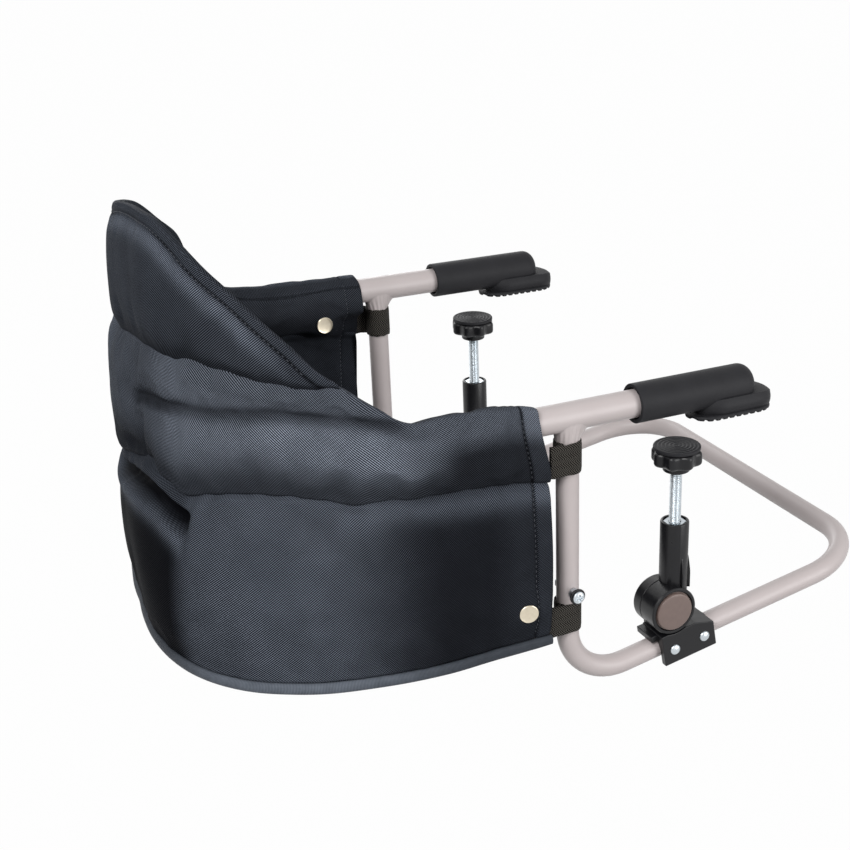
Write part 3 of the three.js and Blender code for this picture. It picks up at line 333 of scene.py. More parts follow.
# %% Skins
class Skin:
    """Points in millimetres, and arrays of faces, each with three, four or more point numbers."""

    def __init__(self, points, faces):
        self.points = np.asarray(points, float).reshape(-1, 3)
        self.faces = [np.asarray(face, int) for face in faces]

    def __add__(self, other):
        """Two skins as one: the second's point numbers move past the first's."""
        past = len(self.points)
        return Skin(np.vstack((self.points, other.points)), self.faces + [f + past for f in other.faces])

    def moved(self, x=0.0, y=0.0, z=0.0):
        return Skin(self.points + (x, y, z), self.faces)

    def turned(self, turn):
        """The skin turned by a 3 by 3 matrix."""
        return Skin(self.points @ np.asarray(turn).T, self.faces)

    def flipped(self):
        """The same points, with every face turned round."""
        return Skin(self.points, [face[:, ::-1] for face in self.faces])

    def mirrored(self):
        """The skin seen in the plane between the arms, with its faces turned back outwards."""
        return Skin(self.points * (1, -1, 1), self.faces).flipped()

    def volume(self):
        """Six times the volume: the sum of the corner products of each face's fan of triangles."""
        total = 0.0
        for face in self.faces:
            corners = self.points[face]
            for k in range(1, face.shape[1] - 1):
                turn = np.cross(corners[:, k], corners[:, k + 1])
                total += float(np.einsum("ij,ij->", corners[:, 0], turn))
        return total

    def outward(self):
        """The same skin with its faces turned round if they pointed inwards."""
        return self if self.volume() > 0 else self.flipped()


print("skin helpers ready")

# %% [markdown]
# A grid turns rows of points into quads. Most pieces here are rings of points with a cap at both ends.

# %% Grids
def grid(points, ring=False, loop=False, capped=False):
    """Quads over points[row, place]. ring joins each row's end to its start, loop joins the last row to
    the first, and capped closes the first and the last row with one face each."""
    points = np.asarray(points, float)
    rows, places = points.shape[:2]
    row = np.arange(rows if loop else rows - 1)[:, None]
    place = np.arange(places if ring else places - 1)[None, :]

    def number(i, j):
        return (i % rows) * places + j % places

    corners = (number(row, place), number(row, place + 1), number(row + 1, place + 1), number(row + 1, place))
    faces = [np.stack(np.broadcast_arrays(*corners), -1).reshape(-1, 4)]
    if capped:
        first = np.arange(places)[None, ::-1]
        faces += [first, first[:, ::-1] + (rows - 1) * places]
    return Skin(points, faces).outward()


def closed(points):
    """A skin over rings of points, one ring a row, with both ends capped."""
    return grid(points, ring=True, capped=True)


def shell(x, y, z):
    """A closed skin from arrays of coordinates that broadcast to rings of points."""
    return closed(np.stack(np.broadcast_arrays(x, y, z), -1))


print("grid helpers ready")

# %% [markdown]
# Turned parts and tubes start from a path. Its corners may be rounded, and it may need more points.

# %% Paths
def angles(sides):
    """Equal steps round a full turn."""
    return np.linspace(0, TURN, sides, endpoint=False)


def circle(radius, sides=48):
    turn = angles(sides)
    return radius * np.stack((np.cos(turn), np.sin(turn)), -1)


def unit(vectors):
    return vectors / np.linalg.norm(vectors, axis=-1, keepdims=True)


def lengths(path):
    """The length along a path at each of its points."""
    return np.concatenate(([0], np.cumsum(np.linalg.norm(np.diff(path, axis=0), axis=1))))


def read_off(values, place, at):
    """Rows of values that belong to places, read off between them by straight lines."""
    return np.stack([np.interp(at, place, column) for column in values.T], -1)


def rounded(corners, radius, steps=5):
    """A path through corners with an arc at each inner corner. radius is one number or one a corner."""
    corners = np.asarray(corners, float)
    radii = np.broadcast_to(np.asarray(radius, float), len(corners) - 2)
    path = [corners[:1]]
    for i, size in enumerate(radii, start=1):
        into, out = unit(corners[i] - corners[i - 1]), unit(corners[i + 1] - corners[i])
        turn = math.acos(max(-1.0, min(1.0, float(into @ out))))
        inward = unit(out - (out @ into) * into)
        start = corners[i] - into * size * math.tan(turn / 2)
        angle = np.linspace(0, turn, max(2, round(steps * turn / (math.pi / 2)) + 1))[:, None]
        path.append(start + inward * size * (1 - np.cos(angle)) + into * size * np.sin(angle))
    return np.vstack((*path, corners[-1:]))


def filled(path, step):
    """A path with points added so that none are further apart than step."""
    place = lengths(path)
    extra = [np.linspace(a, b, max(1, int((b - a) // step) + 1), endpoint=False)
             for a, b in zip(place[:-1], place[1:])]
    return read_off(path, place, np.concatenate((*extra, place[-1:])))


print("path helpers ready")

# %% [markdown]
# A lathe turns a profile about an axis. A sweep carries a section along a path, and has to know at each
# place which way is sideways and which is up.

# %% Lathe and sweep
AXES = {"x": (2, 0, 1), "y": (0, 2, 1), "z": (0, 1, 2)}


def lathe(profile, axis="z", sides=64, loop=False):
    """A profile of (radius, height) turned about an axis: radius times cosine and sine of the angle
    across the axis, height along it. A loop profile makes a ring; another is capped at both ends."""
    radius, height = np.asarray(profile, float).T[..., None]
    turn = angles(sides)
    points = np.stack(np.broadcast_arrays(radius * np.cos(turn), radius * np.sin(turn), height), -1)
    return grid(points[..., AXES[axis]], ring=True, loop=loop, capped=not loop)


def frames(path):
    """Side and up at each point of a path; the side turns as little as the path does."""
    tangent = unit(np.gradient(path, axis=0))
    start = np.array([0, 0, 1.0]) if abs(tangent[0, 2]) < 0.9 else np.array([1.0, 0, 0])
    side = np.empty_like(path)
    last = np.cross(start, tangent[0])
    for i, along in enumerate(tangent):
        last = side[i] = unit(last - (last @ along) * along)
    return side, np.cross(tangent, side)


def swept(path, section):
    """A closed section of (side, up) carried along a path. The section may differ at each place."""
    section = np.broadcast_to(section, (len(path), *np.shape(section)[-2:]))
    side, up = frames(path)
    return closed(path[:, None] + side[:, None] * section[..., :1] + up[:, None] * section[..., 1:])


print("lathe and sweep ready")

# %% [markdown]
# ## Pieces
# A finished skin becomes an object that rides on a body of the frame and hides the solid that it stands
# for. The two sides are mirror images, so a side's piece is made once, with its Y pointing outwards from
# the arm, and then placed twice.

# %% Put pieces into the scene
ARM_HALF_SPACING = 185.5
SIDES = {"right": -1, "left": 1}
SHARP_EDGE = 38.0
# The painted light of cloth that is given no level of its own: a middle level, neither painted shade nor
# painted highlight.
PLAIN_PAINTED_LIGHT = 0.4


def thread_lines(obj, weave):
    """Give each point its place on the cloth, along and across in millimetres, and its level of painted
    light.
    """
    flat = np.full((len(obj.data.vertices), 3), PLAIN_PAINTED_LIGHT, np.float32)
    weave = np.asarray(weave, float)
    flat[:, : weave.shape[-1]] = weave.reshape(-1, weave.shape[-1])
    layer = obj.data.attributes.new("weave", "FLOAT_VECTOR", "POINT")
    layer.data.foreach_set("vector", flat.ravel())


def piece(name, skin, finish, nodes=(), body="frame", sharp=SHARP_EDGE, weave=None):
    """One object from a skin: smooth, but with an edge wherever two faces turn by more than sharp."""
    mesh = bpy.data.meshes.new(name)
    mesh.from_pydata((skin.points * MM).tolist(), [], [row for face in skin.faces for row in face.tolist()])
    mesh.shade_smooth()
    mesh.set_sharp_from_angle(angle=math.radians(sharp))
    mesh.materials.append(finish.material)
    obj = bpy.data.objects.new(name, mesh)
    scene.collection.objects.link(obj)
    if weave is not None:
        thread_lines(obj, weave)
    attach(obj, body)
    if nodes:
        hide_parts(*nodes)
    return obj


def pair(stem, skin, finish, node, body=None, sharp=SHARP_EDGE, weave=None):
    """The same piece on both sides, from a skin whose Y points outwards from the arm's axis."""
    made = []
    for side, sign in SIDES.items():
        placed = (skin if sign > 0 else skin.mirrored()).moved(y=sign * ARM_HALF_SPACING)
        rides = f"{side}_{body}" if body else "frame"
        made.append(piece(f"{side}_{stem}", placed, finish, [f"{side}_{node}"], rides, sharp, weave))
    print(f"{stem}: {sum(len(f) for f in skin.faces)} faces a side")
    return made


def bevelled(obj, width, segments=3):
    """Round the sharp edges of an object by width millimetres."""
    bevel = obj.modifiers.new("edges", "BEVEL")
    bevel.width = width * MM
    bevel.segments = segments
    bevel.limit_method = "ANGLE"
    bevel.angle_limit = math.radians(SHARP_EDGE)
    bevel.harden_normals = True


print("piece helpers ready")

# %% [markdown]
# ## The two tubes
# The arms and the run behind the back are one tube of 22 mm, bent into a U. The posts, the runs that reach
# forwards and the bar across are one tube of 18 mm. A curve with a bevel would do, but a circle carried
# along a path gives even quads.

# %% Bend the tubes
ARM_RADIUS = 11.0
ARM_HEIGHT = 21.0
ARM_FRONT_X = 95.0
ARM_BACK_X = -325.0
ARM_BEND = 160.0
POST_RADIUS = 9.0
POST_X = -65.0
POST_BEND = 44.0
LOWER_DROP = 200.8
LOWER_RISE = math.radians(9.8)
LOWER_FRONT_X = 235.0
LOWER_FRONT_BEND = 60.0


def run_height(x):
    """Height of a lower run's axis: a straight line that rises to the front."""
    return -LOWER_DROP + math.tan(LOWER_RISE) * x


def arm_path():
    side = ARM_HALF_SPACING
    corners = [(ARM_FRONT_X, -side, ARM_HEIGHT), (ARM_BACK_X, -side, ARM_HEIGHT),
               (ARM_BACK_X, side, ARM_HEIGHT), (ARM_FRONT_X, side, ARM_HEIGHT)]
    return rounded(corners, ARM_BEND, 32)


def lower_path():
    side = ARM_HALF_SPACING
    low, front = run_height(POST_X), run_height(LOWER_FRONT_X)
    corners = [(POST_X, -side, ARM_HEIGHT), (POST_X, -side, low), (LOWER_FRONT_X, -side, front),
               (LOWER_FRONT_X, side, front), (POST_X, side, low), (POST_X, side, ARM_HEIGHT)]
    return rounded(corners, [POST_BEND, LOWER_FRONT_BEND, LOWER_FRONT_BEND, POST_BEND], 18)


print("tube paths:", len(arm_path()), "and", len(lower_path()), "points")

# %% [markdown]
# The posts are welded under the arms. The weld is a flared collar with the ripples that a welder's torch
# leaves, longer to the front and rear than to the sides.

# %% Welds and tubes
WELD_FOOT = -1.5
WELD_FLARE = (5.0, 1.4)
WELD_RIPPLES = 17
WELD_HALF_WIDTH = 10.6
TUBE_STEP = 25.0


def weld_bead():
    """Radius grows from the post's by a flare that is long along the arm and short across it; height goes
    from the foot up to the arm's underside, its axis minus the root of its radius squared minus y squared."""
    angle = angles(120)
    rise = np.linspace(0, 1, 14)[:, None]
    tongue = WELD_FLARE[0] * np.abs(np.cos(angle)) ** 1.5 * (1 + 0.45 * np.cos(angle))
    flare = tongue + WELD_FLARE[1] * np.sin(angle) ** 2
    ripple = 0.35 * np.sin(WELD_RIPPLES * angle + 3 * rise) * np.sin(math.pi * rise)
    radius = POST_RADIUS + 0.4 * np.sin(math.pi * rise) + flare * rise**2.2 + ripple
    y = np.clip(radius * np.sin(angle), -WELD_HALF_WIDTH, WELD_HALF_WIDTH)
    under = ARM_HEIGHT - np.sqrt(ARM_RADIUS**2 - y**2) + 0.5
    z = WELD_FOOT + (under - WELD_FOOT) * rise**0.8
    return shell(radius * np.cos(angle), y, z).moved(x=POST_X)


weld = weld_bead()
welds = weld.moved(y=ARM_HALF_SPACING) + weld.mirrored().moved(y=-ARM_HALF_SPACING)
upper_skin = swept(filled(arm_path(), TUBE_STEP), circle(ARM_RADIUS))
lower_skin = swept(filled(lower_path(), TUBE_STEP), circle(POST_RADIUS)) + welds
upper_tube = piece("upper_bent_tube", upper_skin, powder, ["arm_tube"])
lower_tube = piece("lower_bent_tube", lower_skin, powder, ["lower_tube"])
print("tubes:", len(upper_tube.data.polygons), "and", len(lower_tube.data.polygons), "faces")

# %% [markdown]
# ## Rubber grips and feet
# A rubber sleeve covers the end of each arm, with an open rim behind and a rounded nose. Under it sits an
# oval foot: a thin sole with cross ribs, and a thicker bumper on it. The sleeve is a turned profile. The
# sole and the bumper are an outline carried along X, with a width that follows the oval.

# %% Grips
GRIP_RADIUS = 15.5
GRIP_BORE = 11.2
GRIP_RIM = 12.6
GRIP_REAR_X = -8.5
GRIP_FRONT_X = 98.5
FOOT_REAR_X = 42.0
FOOT_FRONT_X = 116.0
FOOT_HALF_WIDTH = 18.5
TREAD_PITCH = 6.4
TREAD_DEPTH = 1.3

nose = rounded([(GRIP_RADIUS, 80), (GRIP_RADIUS, GRIP_FRONT_X), (0.3, GRIP_FRONT_X)], 10.5, 12)
rim = rounded([(GRIP_BORE, 94), (GRIP_BORE, GRIP_REAR_X + 6), (GRIP_RIM, GRIP_REAR_X + 5),
               (GRIP_RIM, GRIP_REAR_X), (GRIP_RADIUS, GRIP_REAR_X), (GRIP_RADIUS, 10)],
              [0.4, 0.4, 0.5, 0.8], 4)
barrel = lathe(np.vstack((rim, nose)), "x", 72).moved(z=ARM_HEIGHT)


def oval_bar(rear, front, half_width, base, top, corner, tread=0.0, steep=0.5):
    """A rounded bar along X whose half width follows an oval: the full width, or the chord of the end
    circle. Its section is a rounded rectangle whose height follows a power of that width, and cross ribs
    may cut its base as a soft square wave."""
    x = rear + (front - rear) * (0.5 - 0.5 * np.cos(np.linspace(0.02, math.pi - 0.02, 260)[:, None]))
    inset = np.clip(half_width - np.minimum(x - rear, front - x), 0, None)
    half = np.sqrt(np.clip(half_width**2 - inset**2, 0.05, None))
    wave = np.cos(TURN * (x - (rear + front) / 2) / TREAD_PITCH)
    low = base + tread * (0.5 - 0.5 * np.tanh(6 * (wave + 0.35)))
    high = base + (top - base) * np.clip(half / half_width, 0, 1) ** steep
    across, up = circle(1.0, 40).T
    squareness = 1 / np.maximum(np.abs(across), np.abs(up))
    reach = 1 + (squareness - 1) * corner
    y = half * np.clip(across * reach, -1, 1)
    return shell(x, y, (low + high) / 2 + (high - low) / 2 * np.clip(up * reach, -1, 1))


sole = oval_bar(FOOT_REAR_X, FOOT_FRONT_X, FOOT_HALF_WIDTH, 0.0, 4.2, 0.75, TREAD_DEPTH)
bumper = oval_bar(FOOT_REAR_X + 7, FOOT_FRONT_X + 0.5, FOOT_HALF_WIDTH + 0.2, 1.6, 17.5, 0.5, steep=0.28)
pair("rubber_grip", barrel + sole + bumper, rubber, "grip", sharp=50)

# %% [markdown]
# ## Clamp brackets and rivets
# Each clamp starts with a nylon saddle that straddles the lower run, held by two rivets. Its upper edge is
# hollowed to follow the hub above it, its front slopes down, and a lip reaches back over the tube. The
# saddle is an upside-down U whose height changes along the run. The fixed half of the hub stands on it.

# %% Brackets
RUN_TURN = np.array([[math.cos(LOWER_RISE), 0, -math.sin(LOWER_RISE)], [0, 1, 0],
                     [math.sin(LOWER_RISE), 0, math.cos(LOWER_RISE)]])
BRACKET_X = 41.5
BRACKET_HALF = 25.0
BRACKET_HALF_WIDTH = 15.5
BRACKET_SKIRT = 12.5
BRACKET_CROWN = 16.0
BRACKET_BORE = 9.4
NOSE_START = 8.0
NOSE_DROP = 6.0
HUB_SETBACK = 10.5
HUB_RISE = 36.0
HUB_RADIUS = 20.5
HUB_ROOM = 21.4
HUB_INNER = -16.0
HUB_FLOOR = -12.0
HUB_SPLIT = -4.0
HUB_OUTER = 16.0
HUB_BORE = 13.1
PIN_BORE = 3.4


def on_run(skin):
    """Turn a skin from the run's own slope into the side's frame."""
    return skin.turned(RUN_TURN).moved(BRACKET_X, 0, run_height(BRACKET_X))


def saddle():
    """Section at x: up one flank, over the top and down the other, then back under round the tube. The
    top is the least of the crown, the sloping nose and the hollow under the hub."""
    x = np.linspace(-BRACKET_HALF, BRACKET_HALF, 46)[:, None]
    from_hub = np.clip(HUB_ROOM**2 - (x + HUB_SETBACK) ** 2, 0, None)
    hollow = np.where(from_hub > 0, HUB_RISE - np.sqrt(from_hub), BRACKET_CROWN)
    sloping = BRACKET_CROWN - NOSE_DROP * np.clip((x - NOSE_START) / (BRACKET_HALF - NOSE_START), 0, 1)
    top = np.minimum(np.minimum(hollow, sloping), BRACKET_CROWN)
    arc = np.linspace(0, math.pi, 25)
    wide, bore, low = BRACKET_HALF_WIDTH, BRACKET_BORE, -BRACKET_SKIRT
    y = np.concatenate(([-wide, -wide, wide, wide, bore], bore * np.cos(arc), [-bore]))
    fixed = np.concatenate(([low, 0, 0, low, low], bore * np.sin(arc), [low]))
    is_top = np.isin(np.arange(y.size), (1, 2))
    return shell(x, y, np.where(is_top, top, fixed))


def block(low, high):
    """A box between two corners, as a square carried upwards."""
    (x0, y0, z0), (x1, y1, z1) = low, high
    return shell(np.array([x0, x1, x1, x0]), np.array([y0, y0, y1, y1]), np.array([[z0], [z1]]))


lip = block((-31, -BRACKET_HALF_WIDTH + 0.3, 9.6), (-17, 8, 15.2))
neck = block((-HUB_SETBACK - 13, HUB_INNER + 0.25, 9.5), (-HUB_SETBACK + 13, HUB_SPLIT - 0.5, HUB_RISE))
half_hub = [(HUB_BORE, HUB_FLOOR), (HUB_BORE, HUB_SPLIT - 0.2), (HUB_RADIUS, HUB_SPLIT - 0.2),
            (HUB_RADIUS, HUB_INNER + 1.6), (HUB_RADIUS - 1.6, HUB_INNER), (PIN_BORE, HUB_INNER),
            (PIN_BORE, HUB_FLOOR)]
fixed_hub = lathe(half_hub, "y", 96, loop=True).moved(-HUB_SETBACK, 0, HUB_RISE)
for bracket in pair("clamp_saddle", on_run(saddle() + lip + neck + fixed_hub), nylon, "clamp_bracket"):
    bevelled(bracket, 0.7)

# %% [markdown]
# Two rivets go through each saddle and its tube. A rivet is one turned profile: a domed head, the shank and
# the other head, about an axis that goes across the run.

# %% Rivets
RIVET_SPACING = 28.8
RIVET_RADIUS = 4.6
RIVET_RISE = 2.3
SHANK_RADIUS = 2.5
head = [(RIVET_RADIUS, -0.3)] + [(RIVET_RADIUS * math.cos(a), RIVET_RISE * math.sin(a))
                                 for a in np.linspace(0.05, math.pi / 2 - 0.04, 9)]
rivet_profile = [(r, -BRACKET_HALF_WIDTH - 0.2 - h) for r, h in head[::-1]]
rivet_profile += [(SHANK_RADIUS, -BRACKET_HALF_WIDTH), (SHANK_RADIUS, BRACKET_HALF_WIDTH)]
rivet_profile += [(r, BRACKET_HALF_WIDTH + 0.2 + h) for r, h in head]
rivet = lathe(rivet_profile, "y", 40)
for name, place in (("rear", -0.5), ("front", 0.5)):
    pair(f"domed_rivet_{name}", on_run(rivet.moved(x=place * RIVET_SPACING)), zinc, f"{name}_rivet")

# %% [markdown]
# ## Clamp arms
# The swinging half of the hub is a drum with a bright chamfer round its face and a recess for the button.
# A sleeve rises from it and holds the screw's nut. Both are turned forms. The sleeve's lower edge steps up
# where it passes over the fixed half of the hub, so the two can turn past each other, and two short ribs
# stiffen its foot.

# %% Sleeve
SLEEVE_OFFSET = 8.0
SLEEVE_RADIUS = 11.75
SLEEVE_RISE = 74.0
SCREW_BORE = 5.4
NUT_POCKET = 9.5
NUT_FLOOR = 64.4
HUB_SWEEP = 21.2
GEAR_ROOM = 13.6
LIP_ROOM = 19.4
LIP_Y = 6.2
FOOT_LEAST = 12.0
PARTING_ANGLE = 1.7
RIB_TOP = 46.0
RIB_SLOPE = 18.0
RIB_REACH = 2.2
RIB_HALF = 0.75


def sleeve():
    """Rings about the screw's axis: out along the foot, up the wall, over the rim, down into the nut's
    pocket and down the bore. The foot's height is an arc about the hub's centre: over the fixed half,
    round the gear's room, and inside the drum's rim beside the button. A slight ridge down the wall is
    the mould's parting line."""
    angle = angles(160)
    profile = [(SCREW_BORE, None), (7.9, None), (SLEEVE_RADIUS, None), (SLEEVE_RADIUS, 30),
               (SLEEVE_RADIUS, SLEEVE_RISE - 1.2), (SLEEVE_RADIUS - 0.35, SLEEVE_RISE - 0.35),
               (SLEEVE_RADIUS - 1.2, SLEEVE_RISE), (NUT_POCKET + 0.4, SLEEVE_RISE),
               (NUT_POCKET, SLEEVE_RISE - 0.4), (NUT_POCKET, NUT_FLOOR), (SCREW_BORE, NUT_FLOOR)]
    rows = []
    for radius, height in profile:
        ridge = 0.35 * np.exp(-(((angle - PARTING_ANGLE) / 0.05) ** 2)) if radius > 11 else 0.0
        x = SLEEVE_OFFSET + (radius + ridge) * np.cos(angle)
        y = (radius + ridge) * np.sin(angle)
        is_over_hub = y < HUB_SPLIT + 0.3
        reach = np.where(is_over_hub, HUB_SWEEP, np.where(y < LIP_Y, GEAR_ROOM, LIP_ROOM))
        arc = np.sqrt(np.clip(reach**2 - x**2, 0, None))
        foot = np.where(is_over_hub, arc, np.maximum(arc, FOOT_LEAST))
        rows.append(np.stack((x, y, foot if height is None else np.full_like(x, height)), -1))
    return grid(np.array(rows), ring=True, loop=True)


def sleeve_rib(angle, low):
    """A thin fin on the sleeve's foot: its outer edge leans in to the wall as it goes up."""
    height = np.linspace(low, RIB_TOP, 14)[:, None]
    out = SLEEVE_RADIUS - 1 + (1 + RIB_REACH) * np.clip((RIB_TOP - height) / RIB_SLOPE, 0, 1) ** 0.6
    radial = np.where([True, False, False, True], SLEEVE_RADIUS - 2.5, out)
    across = RIB_HALF * np.array([-1, -1, 1, 1])
    x = SLEEVE_OFFSET + radial * math.cos(angle) - across * math.sin(angle)
    return shell(x, radial * math.sin(angle) + across * math.cos(angle), height)


print("sleeve stands", SLEEVE_RISE, "mm above the hub's centre")

# %% [markdown]
# The drum is a ring that is turned about the hub's axis. Drum, sleeve and ribs are one moulding, so they
# make one piece, which swings with the clamp.

# %% Drum
HUB_X, HUB_Z = 25.026, -159.944
AT_HUB = {"x": HUB_X, "z": HUB_Z}
RECESS_RADIUS = 17.4
RECESS_FLOOR = 8.0
GUIDE_RADIUS = 11.4
drum_profile = [(GUIDE_RADIUS, 5), (HUB_BORE, 5), (HUB_BORE, HUB_SPLIT + 0.2),
                (HUB_RADIUS - 0.5, HUB_SPLIT + 0.2), (HUB_RADIUS, HUB_SPLIT + 0.7),
                (HUB_RADIUS, HUB_OUTER - 0.9), (HUB_RADIUS - 0.9, HUB_OUTER),
                (RECESS_RADIUS + 0.5, HUB_OUTER), (RECESS_RADIUS, HUB_OUTER - 0.5),
                (RECESS_RADIUS, RECESS_FLOOR), (GUIDE_RADIUS, RECESS_FLOOR)]
drum = lathe(drum_profile, "y", 120, loop=True)
ribs = sleeve_rib(1.5, 17.8) + sleeve_rib(0.5, 14)
for clamp in pair("clamp_drum", (drum + sleeve() + ribs).moved(**AT_HUB), nylon, "clamp_arm", "arm"):
    bevelled(clamp, 0.35, 2)

# %% [markdown]
# ## Release buttons
# The button is a taupe cap in the drum's recess, with a black groove round it. It is a turned profile
# with a very slight crown, and its skirt and flange reach down under the drum's lip. The hub's pivot pin is
# turned too.

# %% Buttons and pins
BUTTON_RADIUS = 16.1
BUTTON_FACE = 17.5
BUTTON_FLAT = BUTTON_RADIUS - 0.8
FLANGE_RADIUS = 16.9
FLANGE_TOP, FLANGE_LOW = 14.2, 12.2
PIN_END = 11.6
crown = [(r, BUTTON_FACE + 0.5 * (1 - (r / BUTTON_FLAT) ** 2)) for r in np.linspace(0.2, BUTTON_FLAT, 9)]
button_profile = crown + [
    (BUTTON_RADIUS - 0.3, BUTTON_FACE - 0.2), (BUTTON_RADIUS, BUTTON_FACE - 0.7), (BUTTON_RADIUS, FLANGE_TOP),
    (FLANGE_RADIUS, FLANGE_TOP), (FLANGE_RADIUS, FLANGE_LOW), (12, FLANGE_LOW), (12, 15.5), (0.2, 15.5),
]
button = lathe(button_profile[::-1], "y", 96)
pair("release_cap", button.moved(**AT_HUB), taupe, "release_button", "button")

pin_profile = [(0.3, HUB_INNER - 2.3), (5.3, HUB_INNER - 2.3), (6.2, HUB_INNER - 1.9), (6.5, HUB_INNER - 1.3),
               (6.5, HUB_INNER - 0.3), (3, HUB_INNER - 0.3), (3, PIN_END), (0.3, PIN_END)]
pair("pivot_pin", lathe(pin_profile, "y", 48).moved(**AT_HUB), zinc, "hub_pin")

# %% [markdown]
# Behind the button, on the floor of the hub's fixed half, a coil spring pushes it back out. The spring is a
# wire carried along a helix, and each side's spring gets a mesh of its own.

# %% Springs
SPRING_SEAT = -11.8
SPRING_TOP = -6.2
SPRING_RADIUS = 6.0
SPRING_TURNS = 2.5
WIRE_RADIUS = 0.5
turn = np.linspace(0, SPRING_TURNS * TURN, 121)
climb = np.linspace(SPRING_SEAT + WIRE_RADIUS, SPRING_TOP - WIRE_RADIUS, turn.size)
coil = np.stack((SPRING_RADIUS * np.cos(turn), climb, SPRING_RADIUS * np.sin(turn)), -1)
coil_skin = swept(coil, circle(WIRE_RADIUS, 10)).moved(**AT_HUB)
springs = pair("return_spring", coil_skin, zinc, "button_spring")
for spring, (side, sign) in zip(springs, SIDES.items()):
    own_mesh(spring)

# %% [markdown]
# ## Screws, wheels and pads
# A threaded screw stands in each sleeve. The thread is the screw's radius, lowered by a triangle wave of
# height over pitch minus angle over a full turn, so the groove climbs once a turn.

# %% Screws
SCREW_X = HUB_X + SLEEVE_OFFSET
SCREW_RADIUS = 4.95
SCREW_PITCH = 1.5
THREAD_DEPTH = 0.75
PAD_TOP = -21.0
SCREW_LOW, SCREW_HIGH = HUB_Z + 58, PAD_TOP - 5.5


def threaded():
    """Radius at angle and height: the full radius, less the depth times a triangle wave of the thread's
    phase, which is height over pitch minus angle over a turn."""
    angle = angles(28)
    height = np.arange(SCREW_LOW, SCREW_HIGH, SCREW_PITCH / 7)[:, None]
    phase = height / SCREW_PITCH - angle / TURN
    wave = np.abs(2 * (phase - np.floor(phase)) - 1)
    out = SCREW_RADIUS - THREAD_DEPTH * np.clip(1.25 * wave - 0.15, 0, 1)
    return shell(out * np.cos(angle), out * np.sin(angle), height)


pair("clamp_thread", threaded().moved(x=SCREW_X), zinc, "clamp_screw", "screw", sharp=60)

# %% [markdown]
# A lobed wheel for the fingers is fixed on the screw's top. A rubber pad on a spigot takes the pressure
# without turning, and fine rings on its face help it to hold.

# %% Wheels and pads
WHEEL_TOP = PAD_TOP - 3.3
WHEEL_RADIUS = 20.5
WHEEL_THICK = 12.0
WHEEL_LOBES = 8
LOBE_DIP = 1.35
NECK_RADIUS = 11.0
NECK_LENGTH = 18.0
NECK_BORE = 5.4
SPIGOT_RADIUS = 4.0
SPIGOT_RISE = 1.5


def lobed_wheel():
    """A turned profile whose radius dips between eight lobes; the dip fades towards the middle."""
    profile = rounded([(NECK_BORE, -4), (NECK_BORE, -NECK_LENGTH), (NECK_RADIUS, -NECK_LENGTH),
                       (NECK_RADIUS, -WHEEL_THICK), (WHEEL_RADIUS, -WHEEL_THICK), (WHEEL_RADIUS, 0),
                       (SPIGOT_RADIUS, 0), (SPIGOT_RADIUS, SPIGOT_RISE), (0.3, SPIGOT_RISE)],
                      [0.4, 1, 0.6, 3.2, 3.2, 0.01, 0.4], 6)
    radius, height = profile.T[..., None]
    angle = angles(160)
    reach = np.clip((radius - 11.5) / 8, 0, 1)
    out = radius - LOBE_DIP * (1 - np.cos(WHEEL_LOBES * angle)) * reach
    return shell(out * np.cos(angle), out * np.sin(angle), height)


pair("lobed_wheel", lobed_wheel().moved(x=SCREW_X, z=WHEEL_TOP), nylon, "pad_wheel", "screw")

PAD_RADIUS = 19.0
PAD_THICK = 3.0
SOCKET_RADIUS = 4.4
SOCKET_DEPTH = 1.7
RINGS_RADIUS = 17.5
RING_PITCH = 3.0
pad_edge = rounded([(SOCKET_RADIUS, 0), (PAD_RADIUS, 0), (PAD_RADIUS, PAD_THICK), (0.3, PAD_THICK)],
                   [0.8, 1.1], 5)
pad_radius = np.linspace(RINGS_RADIUS, 0.3, 60)
rings = 0.35 * (0.5 - 0.5 * np.cos(TURN * (RINGS_RADIUS - pad_radius) / RING_PITCH))
pad_face = np.column_stack((pad_radius, PAD_THICK - rings))
socket = [(0.3, SOCKET_DEPTH), (SOCKET_RADIUS, SOCKET_DEPTH)]
pad = lathe(np.vstack((pad_edge[:-1], pad_face, socket)), "z", 72, loop=True)
pair("pressure_pad", pad.moved(x=SCREW_X, z=PAD_TOP - PAD_THICK), rubber, "table_pad", "pad")

# %% [markdown]
# ## Stops
# A cross-head screw through each post, with a spacer and a black washer under its head, keeps the lower
# strap from riding up. The head is a turned dome whose height is lowered inside a cross.

# %% Stops
AT_STOP = {"x": POST_X, "z": run_height(POST_X) + 89.0}
HEAD_RADIUS = 4.9
HEAD_TOP = 20.3
CROSS_HALF_WIDTH = 0.75
CROSS_HALF_LENGTH = 2.6
CROSS_DEPTH = 1.5
COLLAR_BORE = 2.7
SPACER_RADIUS = 4.5
SPACER_ENDS = (9.2, 15.3)
WASHER_RADIUS = 6.5
WASHER_ENDS = (15.5, 17.1)


def collar(radius, ends, corner, steps):
    """A rectangle with two rounded corners, turned about the stop's screw between its two ends."""
    low, high = ends
    profile = rounded([(COLLAR_BORE, low), (radius, low), (radius, high), (COLLAR_BORE, high)], corner, steps)
    return lathe(profile, "y", 48, loop=True).moved(**AT_STOP)


pair("stop_sleeve", collar(SPACER_RADIUS, SPACER_ENDS, 0.35, 3), zinc, "stop_spacer")
pair("stop_ring", collar(WASHER_RADIUS, WASHER_ENDS, 0.5, 4), nylon, "stop_washer")


def in_bar(across, along):
    """Below one inside a bar of the cross, and above one outside it."""
    return np.maximum(np.abs(across) / CROSS_HALF_WIDTH, np.abs(along) / CROSS_HALF_LENGTH)


